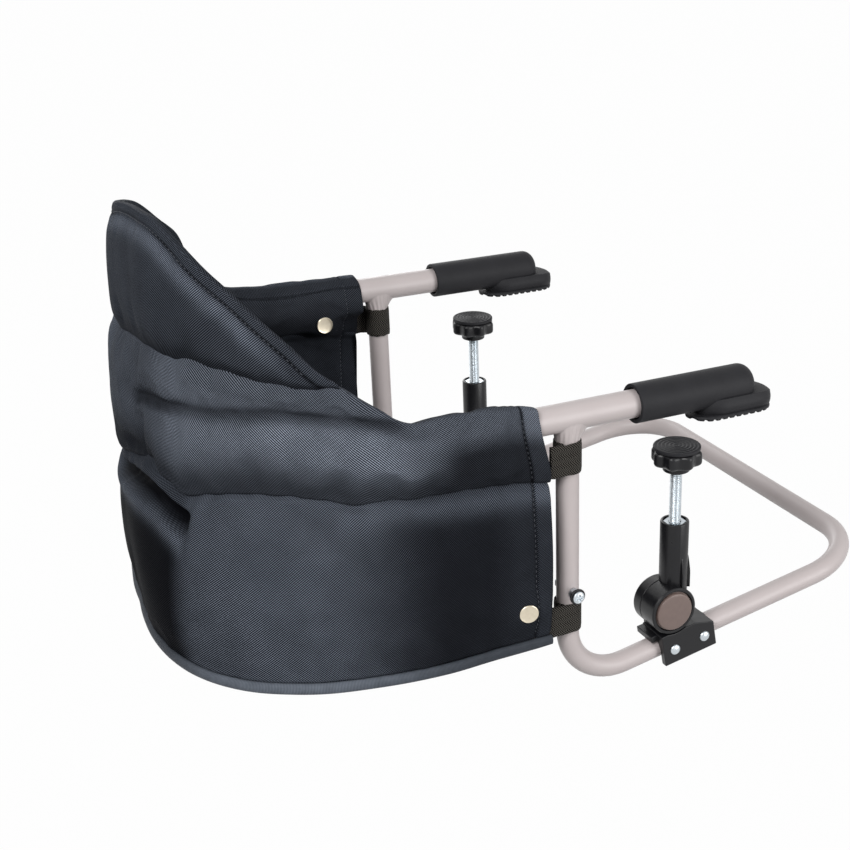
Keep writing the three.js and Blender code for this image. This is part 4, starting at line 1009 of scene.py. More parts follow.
def cross_head():
    """A pan head: height falls as the cube of the radius, and drops inside a cross of two bars. Its
    shank is the last rings, down through the post."""
    angle = angles(96)
    radius = np.linspace(0.1, HEAD_RADIUS, 26)[:, None]
    x, z = radius * np.cos(angle), radius * np.sin(angle)
    sunk = CROSS_DEPTH / (1 + np.exp(14 * (np.minimum(in_bar(x, z), in_bar(z, x)) - 1)))
    face = np.stack((x, HEAD_TOP - 1.5 * (radius / HEAD_RADIUS) ** 3 - sunk, z), -1)
    ring = np.stack((np.cos(angle), 0 * angle, np.sin(angle)), -1)
    rows = [r * ring + (0, h, 0) for r, h in ((5, 18.2), (5, 17.5), (4.8, 17.3), (2.4, 17.3), (2.4, -14.5))]
    return closed(np.vstack((face, np.array(rows))))


pair("stop_cross_screw", cross_head().moved(**AT_STOP), zinc, "stop_screw", sharp=50)

# %% [markdown]
# ## The seat's wall
# The seat is a wall of cloth that follows the upper tube: across the back, round two bends and forwards
# along both arms. A place on it is a length along the tube's axis from mid back, an offset outwards, and a
# height. All the sewn panels are worked out in those three numbers and then bent round the tube together.

# %% Along the wall
BACK_HALF = ARM_HALF_SPACING - ARM_BEND
BEND_LENGTH = ARM_BEND * math.pi / 2
BEND_X = ARM_BACK_X + ARM_BEND
SEAT_FRONT_X = -85.0
WALL_FRONT = BACK_HALF + BEND_LENGTH + SEAT_FRONT_X - BEND_X


def wall_heading(along):
    """How far the wall has turned from the back's direction, from 0 at mid back to a quarter turn."""
    return np.sign(along) * np.clip((np.abs(along) - BACK_HALF) / ARM_BEND, 0, math.pi / 2)


def wall_outward(along):
    """Unit vector that points out of the wall, level with the floor."""
    turn = wall_heading(along)
    return np.stack((-np.cos(turn), np.sin(turn), np.zeros_like(turn)), -1)


def wall_point(along, offset, height):
    """A point of the wall: the tube's axis at that length, plus the offset times the outward vector."""
    along, offset, height = np.broadcast_arrays(along, offset, height)
    turn = np.abs(wall_heading(along))
    straight = np.clip(np.abs(along) - BACK_HALF - BEND_LENGTH, 0, None)
    x = BEND_X - ARM_BEND * np.cos(turn) + straight
    y = np.sign(along) * (np.clip(np.abs(along), 0, BACK_HALF) + ARM_BEND * np.sin(turn))
    return np.stack((x, y, height), -1) + wall_outward(along) * offset[..., None]


print("wall of", round(2 * WALL_FRONT), "mm along the tube")

# %% [markdown]
# Sewn shapes need a few curves: a smooth step, a bell, a smooth curve through keys, a groove along such a
# curve, and two kinds of unevenness, slow lumps and the short gathers beside a seam.

# %% Curves and lumps
def ease(value, low, high):
    """A smooth step from 0 at low to 1 at high."""
    t = np.clip((value - low) / (high - low), 0, 1)
    return t * t * (3 - 2 * t)


def through(place, keys):
    """A smooth curve through (place, value) keys: a cubic between two keys, with the slopes that the
    keys on either side give."""
    at, value = np.asarray(keys, float).T
    slope = np.gradient(value, at)
    place = np.clip(place, at[0], at[-1])
    k = np.clip(np.searchsorted(at, place, side="right") - 1, 0, len(at) - 2)
    span = at[k + 1] - at[k]
    t = (place - at[k]) / span
    start = (2 * t**3 - 3 * t**2 + 1) * value[k] + (t**3 - 2 * t**2 + t) * span * slope[k]
    return start + (3 * t**2 - 2 * t**3) * value[k + 1] + (t**3 - t**2) * span * slope[k + 1]


def hump(value, middle, width):
    return np.exp(-(((value - middle) / width) ** 2))


def groove(along, height, keys, width, fade=18.0):
    """A groove of depth one along a curve of (along, height) keys: a bell across it, faded at its ends."""
    keys = sorted(keys)
    ends = ease(along, keys[0][0] - fade / 2, keys[0][0] + fade / 2)
    ends = ends * (1 - ease(along, keys[-1][0] - fade / 2, keys[-1][0] + fade / 2))
    return hump(height, through(along, keys), width) * ends


def unevenness(along, across, size, seed):
    """Soft lumps of about size millimetres: a sum of six waves in seeded directions, near -1 to 1."""
    dice = np.random.default_rng(seed)
    total = 0.0
    for _ in range(6):
        angle, phase = dice.uniform(0, TURN, 2)
        wave = size * dice.uniform(0.8, 1.7)
        total = total + np.sin(TURN * (along * math.cos(angle) + across * math.sin(angle)) / wave + phase)
    return total / 3.5


def puckers(along, distance, reach, seed):
    """Gathers beside a seam: short waves along it that die away with the distance from it."""
    dice = np.random.default_rng(seed)
    total = 0.0
    for length in (9.0, 14.0, 23.0, 37.0):
        total = total + np.sin(TURN * along / length + dice.uniform(0, TURN))
    return total / 2.4 * np.exp(-np.abs(distance) / reach)


print("curve helpers ready")

# %% [markdown]
# ## The seat's seams
# Four lines give the seat its shape: the seam between the high back and the band, the edge of the back, the
# seam between the band and the skirt, and the hem. A sewn seat is never quite the same on both sides, so
# the keys for the sitter's right side, with negative lengths, differ a little from those for the left.

# %% Seam lines
BACK_SEAM = [(-357, 36), (-350, 38), (-335, 40), (-319, 41.5), (-291, 42.5), (-265, 41.5), (-247, 42.5),
             (-230, 53), (-216, 63), (-204, 71.5), (-187, 71.5), (-162, 74), (-141, 77), (-118, 80),
             (-94, 82), (-76, 79.5), (-44, 78), (0, 74.5), (58, 68.5), (94, 73), (141, 72), (187, 65),
             (215, 54), (233, 45), (258, 39.5), (304, 37.5), (357, 36)]
BACK_EDGE = [(-205, 73), (-192, 81), (-173, 99), (-153, 115), (-131, 132), (-109, 145), (-85, 159),
             (-58, 170), (-16, 171), (28, 166), (60, 158), (95, 152), (131, 142), (150, 131), (165, 120),
             (177, 111.5), (188, 101.5), (194, 91), (197.5, 82), (204, 74), (212, 65), (224, 53), (230, 48)]
SKIRT_SEAM = [(-357, -25), (-347, -23), (-314, -19), (-282, -17), (-253, -16), (-227, -16), (-206, -17.5),
              (-190, -14), (-174, -12.5), (-142, -13.5), (-105, -20), (-84, -25.5), (-67, -20), (-45, -16),
              (6, -25), (58, -36), (95, -32), (142, -19), (253, -16), (300, -18.5), (357, -25)]
HEM_OFFSET = [(-357, 14), (-286, 15.5), (-224, 20), (-166, 32), (-145, 36), (-118, 38), (-75, 35), (-49, 32),
              (0, 26.5), (30, 22.5), (57, 21.5), (90, 24), (118, 28), (145, 29.5), (166, 28), (224, 20),
              (286, 15.5), (357, 14)]
HEM_TOP = -152.8
CREST_OFFSET = 7.0
SIDE_SEAM_OFFSET = 9.5
REAR_SEAM_OFFSET = 15.0


def at_rear(along):
    """One behind the back, falling to zero along the sides."""
    return 1 - ease(np.abs(along), 70, 150)


def seam_offset(along):
    """How far out the seam of band and skirt lies: further behind the back than along the sides."""
    return SIDE_SEAM_OFFSET + (REAR_SEAM_OFFSET - SIDE_SEAM_OFFSET) * at_rear(along)


print("back seam at mid back:", float(through(np.array(0.0), BACK_SEAM)), "mm above the soles")

# %% [markdown]
# ## Padded cloth
# A padded panel is two layers of cloth sewn together with wadding between. Its skin is a closed grid, and
# Blender's Cloth fills it: pressure from inside, no weight, the seams pinned, and a little spare cloth so
# that it wrinkles. The result is written back to the mesh, so no simulation stays in the file. Creases
# that the hand makes when it sews, such as tucks and gathers, are added afterwards.

# %% Fill a panel
SWELL_FRAMES = 20
CLOTH_FEEL = {
    "quality": 5, "mass": 0.25, "tension_stiffness": 18, "compression_stiffness": 18, "shear_stiffness": 6,
    "bending_stiffness": 0.8, "air_damping": 3, "use_pressure": True, "vertex_group_mass": "sewn",
}


def points_of(mesh):
    flat = np.empty(len(mesh.vertices) * 3)
    mesh.vertices.foreach_get("co", flat)
    return flat.reshape(-1, 3)


def swell(obj, sewn, pressure, spare, most):
    """Fill a closed cloth piece. sewn marks the points that stay, spare is the share of extra cloth, and
    no point moves further than most millimetres. Gives the points in millimetres."""
    rest = points_of(obj.data)
    seam = obj.vertex_groups.new(name="sewn")
    seam.add(np.flatnonzero(sewn).tolist(), 1.0, "REPLACE")
    cloth = obj.modifiers.new("swell", "CLOTH")
    for key, setting in CLOTH_FEEL.items():
        setattr(cloth.settings, key, setting)
    cloth.settings.uniform_pressure_force = pressure
    cloth.settings.shrink_min = -spare
    cloth.settings.effector_weights.gravity = 0
    cloth.collision_settings.use_collision = False
    cloth.point_cache.frame_start = 1
    cloth.point_cache.frame_end = SWELL_FRAMES
    for step in range(1, SWELL_FRAMES + 1):
        scene.frame_set(step)
    full = points_of(obj.evaluated_get(bpy.context.evaluated_depsgraph_get()).data)
    obj.modifiers.remove(cloth)
    obj.vertex_groups.clear()
    scene.frame_set(1)
    move = full - rest
    length = np.linalg.norm(move, axis=1)[:, None]
    move *= np.minimum(1, most * MM / np.maximum(length, 1e-9))
    print(f"{obj.name}: swelled by up to {length.max() / MM:.1f} mm, held to {most} mm")
    return (rest + move) / MM


print("filling takes", SWELL_FRAMES, "frames")

# %% [markdown]
# A filled panel gets its points back and one subdivision. Its weave is measured up each layer from the seam,
# so that the ribs of the twill run as they do on cloth that was cut flat.

# %% Make a panel
def settle(obj, points):
    """Write points back into a piece, and smooth it with one subdivision."""
    obj.data.vertices.foreach_set("co", (points * MM).ravel())
    obj.data.update()
    smooth = obj.modifiers.new("smooth", "SUBSURF")
    smooth.levels = smooth.render_levels = 1


def arc_length(section, turn):
    """Length along each row of a grid of points: from the first end up to the column where the panel turns
    over, and from the other end beyond it, so that both layers are measured from their own seam."""
    step = np.linalg.norm(np.diff(section, axis=1), axis=2)
    length = np.concatenate((np.zeros((len(section), 1)), np.cumsum(step, axis=1)), axis=1)
    return np.where(np.arange(length.shape[1]) <= turn, length, length[:, -1:] - length)


def panel(name, points, finish, node, along, turn, painted_light, sewn, **filling):
    """A closed cloth piece from rings of points, filled with wadding: its weave runs along the wall and up
    both layers, which meet at the column turn. Gives the piece, and its points as rings."""
    weave = np.stack((along, arc_length(points, turn), painted_light), -1)
    obj = piece(name, closed(points), finish, [node], sharp=180, weave=weave)
    print(f"{name}: {points.shape[0] * points.shape[1]} points")
    return obj, swell(obj, sewn.ravel(), **filling).reshape(points.shape)


print("panel helpers ready")

# %% [markdown]
# ## Working on the wall
# A few small tools work on cloth that is already in place: how far a point stands off the wall, a push that
# keeps the cloth clear of the tube inside it, and the dimple that a press stud makes. The rows of cloth lie
# closer together near the front edges, because a turned hem with a stitched groove runs down them.

# %% Wall tools
CLOTH_STEP = 5.0
HEM_STRIP = 341.5
LAST_EVEN_ROW = 332.0
FRONT_ROWS = np.array([335.5, 338, 339.7, 340.8, 341.5, 342.2, 343.3, 345.5, 349, 353, WALL_FRONT])
TUBE_CLEARANCE = 12.8
STUD_REACH = 7.0


def cloth_rows():
    """Places along the wall: even steps, then the closer rows of both front edges."""
    even = np.linspace(-LAST_EVEN_ROW, LAST_EVEN_ROW, 2 * round(LAST_EVEN_ROW / CLOTH_STEP) + 1)
    return np.concatenate((-FRONT_ROWS[::-1], even, FRONT_ROWS))[:, None]


def front_strip(along):
    """The turned hem at the wall's front edges: a raised strip with a fine groove behind it."""
    place = np.abs(along)
    return 0.8 * ease(place, HEM_STRIP, HEM_STRIP + 2) - 1.1 * hump(place, HEM_STRIP, 1.3)


def hem_painted_light(along):
    """The painted light on a front hem, as a factor: a painted highlight on the raised strip, painted shade
    in the stitched groove.
    """
    place = np.abs(along)
    return (1 + 0.6 * ease(place, HEM_STRIP, HEM_STRIP + 2)) * (1 - 0.9 * hump(place, HEM_STRIP, 1.2))


def off_wall(points, along):
    """How far out from the tube's axis points stand: their distance along the outward vector."""
    return np.einsum("...k,...k", points - wall_point(along, 0.0, 0.0), wall_outward(along))


def clear_of_tube(offset, height):
    """Offset and height of a section, pushed straight away from the tube's axis where it is too near."""
    away = np.hypot(offset, height - ARM_HEIGHT)
    push = np.maximum(1, TUBE_CLEARANCE / np.maximum(away, 0.1))
    return offset * push, ARM_HEIGHT + (height - ARM_HEIGHT) * push


def dimple(offset, along, height, stud_place, target, reach):
    """Press the cloth to a stud: the offset is the target under it and eases back to itself at reach."""
    near = np.hypot(np.abs(along) - stud_place[0], height - stud_place[1])
    return offset + (target - offset) * (1 - ease(near, STUD_REACH, reach))


print("rows of cloth:", len(cloth_rows()))

# %% [markdown]
# ## The band
# The band is a padded sleeve round the upper tube, about 60 mm high along the arms and more behind the back.
# One panel of cloth goes up outside, over the crest and down inside. A crease runs along its upper part,
# where the sewn-on back pulls it inwards, so the crease is pinned while the wadding swells on both sides of
# it.

# %% Band section
BAND_CREASE = [(-245, 40), (-225, 44), (-204, 47.5), (-180, 49.5), (-158, 50), (-135, 48), (-116, 45),
               (-96, 43), (-79, 41), (-58, 38), (-31, 34), (-6, 26)]
FAR_CREASE = [(120, 50), (160, 50), (200, 47), (230, 42)]
REAR_DENT = [(-54, -21), (-41, -17), (-25, -13), (-8, -11.5), (15, -11.5), (37, -13), (62, -9)]
outside, inside = np.linspace(0, 1, 33), np.linspace(1, 0, 33)[1:-1]
share = np.concatenate((outside, inside))[None, :]
is_outside = np.arange(share.size) < outside.size


def band_crease(along, height):
    """Depth of the band's creases: deepest behind the back on the right, shallower along the side."""
    near = (6.0 + 2.5 * ease(along, -100, -55)) * groove(along, height, BAND_CREASE, 5.0)
    rear = 3.0 * groove(along, height, REAR_DENT, 8.0)
    return near + rear + 3.0 * groove(along, height, FAR_CREASE, 6.0)


def band_section(along):
    """Offset and height round the band: a straight line from the lower seam to the crest, plus a fuller
    arc outside and a fuller one inside, which flattens at the front below the tube."""
    low = through(along, SKIRT_SEAM)
    high = through(along, BACK_SEAM)
    height = low + (high - low) * share
    line = seam_offset(along) + (CREST_OFFSET - seam_offset(along)) * share
    arc = np.clip(np.sin(math.pi * share), 0, 1)
    flat = 0.7 * ease(np.abs(along), WALL_FRONT - 34, WALL_FRONT) * ease(-height, -8, 6)
    outer = (6.5 - 2.5 * at_rear(along)) * arc**0.4 - band_crease(along, height)
    offset = line + np.where(is_outside, outer, -25.0 * arc**0.5 * (1 - flat))
    return clear_of_tube(offset, height)


def ring_round_tube(offset, height, radius):
    """The points of a section drawn in to a circle round the tube, each along its own direction."""
    angle = np.arctan2(height - ARM_HEIGHT, offset)
    return radius * np.cos(angle), ARM_HEIGHT + radius * np.sin(angle)


print("band creases:", len(BAND_CREASE), "keys on the right,", len(FAR_CREASE), "on the left")

# %% [markdown]
# The band's rows are placed along the wall, with three more at each end that turn its edge in round the
# tube. Its colour has painted light in it: painted highlights along the sides and above its lower seam, and
# painted shade at the seam itself, below its crest along the sides, in its creases, near the front and
# inside.

# %% Place and fill the band
PINNED_CREASE = 3.2
MOUTH_RADIUS = 12.4
LINING_RADIUS = 11.6
TURNED_IN = 14.0
band_along = cloth_rows()
band_offset, band_height = band_section(band_along)


def band_end(sign):
    """Three rows that turn the band's front edge in round the tube."""
    row = -1 if sign > 0 else 0
    offset, height = band_offset[row], band_height[row]
    edge = wall_point(sign * (WALL_FRONT + 1.0), offset * 0.96, ARM_HEIGHT + (height - ARM_HEIGHT) * 0.97)
    mouth = wall_point(sign * (WALL_FRONT + 0.3), *ring_round_tube(offset, height, MOUTH_RADIUS))
    inner = wall_point(sign * (WALL_FRONT - TURNED_IN), *ring_round_tube(offset, height, LINING_RADIUS))
    return np.array([edge, mouth, inner])


band_points = np.concatenate(
    (band_end(-1)[::-1], wall_point(band_along, band_offset, band_height), band_end(1))
)
end_along = np.full((3, 1), WALL_FRONT)
full_along = np.concatenate((-end_along, band_along, end_along)) + 0 * share
from_back = np.abs(full_along)
creased = band_crease(full_along, band_points[..., 2])
at_front = ease(from_back, 225, 290)
# Painted light on the band: highlights on the sides, shade at the lower seam, below the crest, near the
# front, in the creases and the stitched groove, and painted shade on the inner layer.
painted_light = (0.5 + 0.5 * ease(from_back, 40, 95)) * (0.3 + 0.7 * ease(share, 0.08, 0.5))
painted_light = painted_light * (1 - 0.4 * ease(share, 0.72, 0.86) * ease(from_back, 60, 110))
painted_light = painted_light * (1 - at_front) + at_front * (0.13 + 0.42 * ease(share, 0.5, 0.8))
painted_light = painted_light * (1 - 0.65 * np.clip(creased / 5, 0, 1)) * hem_painted_light(full_along)
painted_light = np.where(is_outside, painted_light, 0.09 + 0.15 * ease(share, 0.3, 0.8))
pinned = (creased > PINNED_CREASE) & is_outside | (from_back > HEM_STRIP - 3)
pinned[:, [0, outside.size - 1]] = True
band, band_points = panel("padded_arm_band", band_points, twill_down, "arm_band", full_along,
                          outside.size + 3, painted_light, pinned, pressure=4.0, spare=0.035, most=5.0)

# %% [markdown]
# The wadding gives the band its fullness. The sewing adds the rest: gathers beside both seams, slow lumps,
# the turned hem at the front and the dimple at each press stud. Last, the cloth is kept off the tube, and
# the right front edge is slanted back.

# %% Band details
CORNER_FOLD = [(-84, -22), (-67, -15), (-57, -12), (-47, -7)]
BAND_STUD = (317.8, 0.0)
BAND_STUD_FACE = -18.4
END_SLANT = 10.0
band_rise = band_points[..., 2]
gather = 1.2 * puckers(full_along, through(full_along, BACK_SEAM) - band_rise, reach=9, seed=3)
gather = gather * (1 - ease(from_back, 200, 240)) * (1 - 0.7 * at_rear(full_along))
gather = gather + 0.9 * puckers(full_along, band_rise - through(full_along, SKIRT_SEAM), reach=8, seed=4)
gather = gather + 2.0 * groove(full_along, band_rise, CORNER_FOLD, width=3.5, fade=8)
fullness = np.sin(math.pi * np.broadcast_to(share, full_along.shape)) ** 0.5
lumps = 1.1 * unevenness(full_along, band_rise, size=42, seed=5) * fullness
is_hem = from_back > HEM_STRIP - 6
shaping = np.where(is_hem, 0, lumps)
before = off_wall(band_points, full_along)
offset = before + np.where(is_outside, gather * (1 - is_hem) + shaping + front_strip(full_along),
                           -shaping - 0.6 * front_strip(full_along))
pressed = dimple(offset, full_along, band_rise, BAND_STUD, BAND_STUD_FACE, reach=20)
offset = np.where(is_outside, offset, pressed)
turned_in = np.zeros(offset.shape, bool)
turned_in[:3] = turned_in[-3:] = True
clear_offset, clear_height = clear_of_tube(offset, band_rise)
band_points[..., 2] = np.where(turned_in, band_rise, clear_height)
move_out = np.where(turned_in, 0, clear_offset - before)
band_points = band_points + wall_outward(full_along) * move_out[..., None]
band_points[..., 0] -= END_SLANT * ease(band_points[..., 2], -30, 30) * ease(-full_along, 300, WALL_FRONT)
settle(band, band_points)
furthest = float(offset[is_outside[None, :] & ~turned_in].max())
print("band stands", round(furthest, 1), "mm off the tube's axis")

# %% [markdown]
# ## The high back
# Above the band stands the back, a padded panel that leans in over the sitter and slopes down on both
# sides. It is thickest near its lower seam and thin at its edge, where the cloth is folded over and sewn
# down with a line of stitches. Its foot goes down into the band, so the seam never gapes.

# %% High back
BACK_ENDS = (-205.0, 229.0)
BACK_LEAN = 0.1
BACK_FOOT = 5.0
EDGE_STITCH = 7.0
GROOVE_WIDTH = 1.3
back_outside = 1 - np.linspace(1, 0, 27) ** 1.5
back_share = np.concatenate((back_outside, back_outside[::-1][1:-1]))[None, :]
back_is_outside = np.arange(back_share.size) < back_outside.size
back_along = np.linspace(*BACK_ENDS, 97)[:, None]
back_seam = through(back_along, BACK_SEAM)
back_high = np.maximum(through(back_along, BACK_EDGE), back_seam + 2)
back_tall = back_high - back_seam
back_height = back_seam - BACK_FOOT + (back_tall + BACK_FOOT) * back_share
up_panel = np.clip((back_height - back_seam) / back_tall, 0, 1)
edge_slope = np.gradient(back_high[:, 0], back_along[:, 0])[:, None]
from_edge = (back_high - back_height) / np.sqrt(1 + edge_slope**2)
stitch_line = hump(from_edge, EDGE_STITCH, GROOVE_WIDTH)
belly = (4 * up_panel * (1 - up_panel)) ** 0.4 * np.minimum(1, back_tall / 50)
swelled_foot = 1.4 * ease(back_height, back_seam - 4, back_seam + 2)
back_offset = CREST_OFFSET + swelled_foot + 1.6 * belly - BACK_LEAN * back_tall * up_panel**2
back_offset = back_offset - np.where(back_is_outside, 0, 2.4 + 8.5 * belly)
back_points = wall_point(back_along, back_offset, back_height)
back_full = back_along + 0 * back_share
# Painted light on the back: a painted highlight in a strip near the edge, painted shade near the lower seam
# and in the stitched groove, and painted shade on the inner layer.
painted_light = 0.36 + 0.6 * hump(from_edge, 14, 6.5) * ease(back_tall, 20, 50)
painted_light = painted_light * (0.5 + 0.5 * ease(up_panel, 0, 0.2)) * (1 - 0.95 * stitch_line)
painted_light = np.where(back_is_outside, painted_light, 0.25)
pinned = (from_edge < EDGE_STITCH + 0.5) | (back_height < back_seam + 1)
pinned[:2] = pinned[-2:] = True
back, back_points = panel("padded_high_back", back_points, twill_up, "upper_back", back_full,
                          back_outside.size - 1, painted_light, pinned, pressure=3.0, spare=0.02, most=2.6)

# %% [markdown]
# On the filled back the sewing shows as gathers above the seam, slow lumps, and the folded edge with its
# stitched groove.

# %% Back details
gather = 0.9 * puckers(back_full, back_height - back_seam, reach=8, seed=7) * (1 - 0.7 * at_rear(back_full))
lumps = 0.9 * unevenness(back_full, back_height, size=60, seed=8) * belly
facing = 0.9 * (1 - ease(from_edge, EDGE_STITCH - 1, EDGE_STITCH + 1))
facing = (facing - 1.3 * stitch_line) * ease(back_tall, 10, 25)
sculpt = np.where(back_is_outside, gather + lumps + facing, -lumps - 0.6 * facing)
back_points = back_points + wall_outward(back_full) * sculpt[..., None]
settle(back, back_points)
print("back stands up to", round(float(back_points[..., 2].max())), "mm above the soles")

# %% [markdown]
# ## The skirt
# Below the band hangs the skirt, two thin layers of cloth that reach down to the hem. Its top goes up inside
# the band. At the rear corner it is caught in a tuck: a pocket opens under the seam, and the cloth below it
# rolls over a ridge. Short wrinkles fan out below the seam at the side, where the band pulls.

# %% Skirt
SKIRT_THICKNESS = 3.6
SKIRT_TONGUE = 7.0
SKIRT_STUD = (334.8, -125.0)
SKIRT_STUD_FACE = 18.9
TUCK_RIDGE = [(-100, -58), (-88, -51), (-66, -43), (-36, -42), (-8, -45), (57, -56), (100, -52)]
skirt_outside = 1 - np.linspace(1, 0, 45) ** 1.5
skirt_share = np.concatenate((skirt_outside, skirt_outside[::-1]))[None, :]
skirt_is_outside = np.arange(skirt_share.size) < skirt_outside.size
skirt_along = cloth_rows()
skirt_seam = through(skirt_along, SKIRT_SEAM)
skirt_height = HEM_TOP + (skirt_seam + SKIRT_TONGUE - HEM_TOP) * skirt_share
up_skirt = np.clip((skirt_height - HEM_TOP) / (skirt_seam - HEM_TOP), 0, 1)
hem_line = through(skirt_along, HEM_OFFSET) - 1.5
bulge = (4.0 - 2.5 * at_rear(skirt_along)) * np.sin(math.pi * up_skirt)
leaning = up_skirt ** (1 + 3 * at_rear(skirt_along))
skirt_offset = hem_line + (seam_offset(skirt_along) + 2 - hem_line) * leaning + bulge
skirt_offset = skirt_offset - 2 * hump(skirt_along, 85, 30) * ease(up_skirt, 0.55, 0.85)
skirt_offset = skirt_offset - 6 * ease(skirt_height, skirt_seam - 2, skirt_seam + 5)
skirt_offset = skirt_offset - np.where(skirt_is_outside, 0, SKIRT_THICKNESS)
skirt_points = wall_point(skirt_along, skirt_offset, skirt_height)
print("skirt's hem stands off the wall by up to", round(float(hem_line.max()), 1), "mm")

# %% [markdown]
# A place in the tuck is a share of the way up from its ridge to the seam. The cloth's colour has painted
# shade behind the back and in the tuck's pocket, and painted highlights on the ridge, along the sides and
# below the seam. Then the skirt is filled, with its seam and its hem pinned.

# %% Skirt wear and filling
skirt_full = skirt_along + 0 * skirt_share
from_back = np.abs(skirt_full)
ridge_line = through(skirt_full, TUCK_RIDGE)
tucked = ease(skirt_full, -97, -88) * (1 - ease(skirt_full, 60, 105))
in_pocket = (skirt_height - ridge_line) / (skirt_seam - ridge_line)
slot = ease(in_pocket, 0, 0.16) * (1 - ease(in_pocket, 0.52, 0.68)) * tucked
strip = ease(in_pocket, 0.6, 0.72) * tucked
# Painted light on the skirt: painted shade behind the back and in the tuck's pocket, painted highlights along
# the sides, on the ridge, on the strip between pocket and seam and below the seam, and painted shade on the
# inner layer.
side_painted_light = np.where(skirt_full < 0, ease(-skirt_full, 80, 104), ease(skirt_full, 30, 150))
painted_light = 0.03 + side_painted_light * (0.07 + 0.56 * (1 - ease(from_back, 180, 270)))
painted_light = painted_light + 0.65 * hump(skirt_height, ridge_line - 5, 8) * tucked + 0.3 * strip
painted_light = painted_light + 0.42 * hump(skirt_height, skirt_seam - 8, 10) * ease(from_back, 180, 230)
painted_light = painted_light * (1 - 0.95 * slot) * hem_painted_light(skirt_full) + 0.08 * ease(from_back, 300, 330)
painted_light = np.where(skirt_is_outside, painted_light, 0.2)
pinned = (skirt_height > skirt_seam - 2) | (skirt_height < HEM_TOP + 5) | (from_back > HEM_STRIP - 3)
skirt, skirt_points = panel("sewn_skirt", skirt_points, twill_up, "skirt", skirt_full, skirt_outside.size - 1,
                            painted_light, pinned, pressure=0.8, spare=0.012, most=2.5)

# %% [markdown]
# The tuck and the wrinkles are moves along the outward vector: inwards in the pocket, outwards on the roll
# below it, and narrow grooves that follow the lines of the pull. A pull has its keys of height and length,
# its depth, its width and how soon it fades.

# %% Skirt details
PULLS = [([(-78, -216), (-45, -209), (-17, -205)], 4.2, 6, 14), ([(-66, -168), (-20, -200)], 2.8, 6, 16),
         ([(-60, -250), (-20, -214)], 2.2, 7, 16), ([(-152, -222), (-128, -217)], 2.0, 4, 10),
         ([(-150, -182), (-118, -186)], 1.6, 5, 12), ([(-105, -296), (-55, -308)], 1.6, 8, 20)]
POCKET_DEPTH = 11.0
pocket = POCKET_DEPTH * slot
roll = 2.2 * hump(skirt_height, ridge_line - 3, 6) * tucked
flap = 2.0 * hump(skirt_full, -100, 6) * ease(skirt_height, -66, -50) * (1 - ease(skirt_height, -30, -20))
pulled = sum(depth * groove(skirt_height, skirt_full, keys, width, fade)
             for keys, depth, width, fade in PULLS)
gather = 0.9 * puckers(skirt_full, skirt_seam - skirt_height, reach=9, seed=11)
gather = gather + 0.8 * puckers(skirt_full, skirt_height - HEM_TOP, reach=7, seed=12)
lumps = 1.2 * unevenness(skirt_full, skirt_height, size=70, seed=13) * np.sin(math.pi * up_skirt)
is_hem = from_back > HEM_STRIP - 6
sculpt = np.where(is_hem, 0, gather + lumps - pulled - pocket + roll + flap)
sculpt = sculpt + np.where(skirt_is_outside, 1, -0.6) * front_strip(skirt_full)
before = off_wall(skirt_points, skirt_full)
stud_face = SKIRT_STUD_FACE - np.where(skirt_is_outside, 0, SKIRT_THICKNESS)
offset = dimple(before + sculpt, skirt_full, skirt_height, SKIRT_STUD, stud_face, reach=24)
skirt_points = skirt_points + wall_outward(skirt_full) * (offset - before)[..., None]
settle(skirt, skirt_points)
print("pocket up to", round(float(pocket.max()), 1), "mm deep")

# %% [markdown]
# ## Stitches
# Lines of thread hold the folded edges down: one along the back's edge and one beside each front hem. A
# stitch is a short thin rod whose ends dip into the cloth. All of them are worked out as one array, with the
# same few faces repeated for every stitch.

# %% Stitches
STITCH_LENGTH = 3.1
STITCH_GAP = 1.1
STITCH_RISE = 0.75
STITCH_SINK = 0.3
THREAD_RADIUS = 0.32


def stitch_row(path, outward):
    """Short rods along a path: rod centres are read off the path at equal lengths and raised by half a sine
    wave; each ring is a circle about the centre, smaller at both ends."""
    place = lengths(path)
    start = np.arange(1.0, place[-1] - STITCH_LENGTH - 1, STITCH_LENGTH + STITCH_GAP)
    t = np.linspace(0, 1, 6)
    at = start[:, None] + STITCH_LENGTH * t
    normal = unit(read_off(outward, place, at))
    raised = (STITCH_RISE * np.sin(math.pi * t) - STITCH_SINK)[None, :, None]
    centre = read_off(path, place, at) + normal * raised
    side = np.cross(unit(np.gradient(centre, axis=1)), normal)
    across, up = circle(1.0, 6).T[..., None]
    radius = THREAD_RADIUS * np.sqrt(np.sin(math.pi * np.clip(t, 0.06, 0.94)))[None, :, None, None]
    points = centre[:, :, None] + radius * (side[:, :, None] * across + normal[:, :, None] * up)
    past = np.arange(len(start))[:, None, None] * (points.shape[1] * points.shape[2])
    return Skin(points, [(face + past).reshape(-1, face.shape[1]) for face in closed(points[0]).faces])


def front_stitches(points, along, places, sign):
    """Stitches down the front hems of a wall piece, on the layer given by places, facing along sign."""
    rows = [int(np.argmin(np.abs(along[:, 0] - edge))) for edge in (-HEM_STRIP, HEM_STRIP)]
    paths = points[rows, places]
    outward = np.broadcast_to(sign * wall_outward(along[rows, :1]), paths.shape)
    right, left = (stitch_row(*row) for row in zip(paths, outward))
    return right + left


def edge_path():
    """The line of the back's edge stitches: in each row, the outside point at the stitch's distance."""
    rows = [np.interp(EDGE_STITCH, near[::-1], np.arange(near.size)[::-1])
            for near in from_edge[:, : back_outside.size]]
    low = np.floor(rows).astype(int)
    part = (np.array(rows) - low)[:, None]
    row = np.arange(len(rows))
    line = back_points[row, low] * (1 - part) + back_points[row, low + 1] * part
    kept = (back_tall[:, 0] > 14) & (low > 0)
    return line[kept], wall_outward(back_along[kept, 0])


print("stitches of", STITCH_LENGTH, "mm")

# %% [markdown]
# Rows of stitches run along the back's edge, and down the front hems of the band and of the skirt, outside
# and inside.

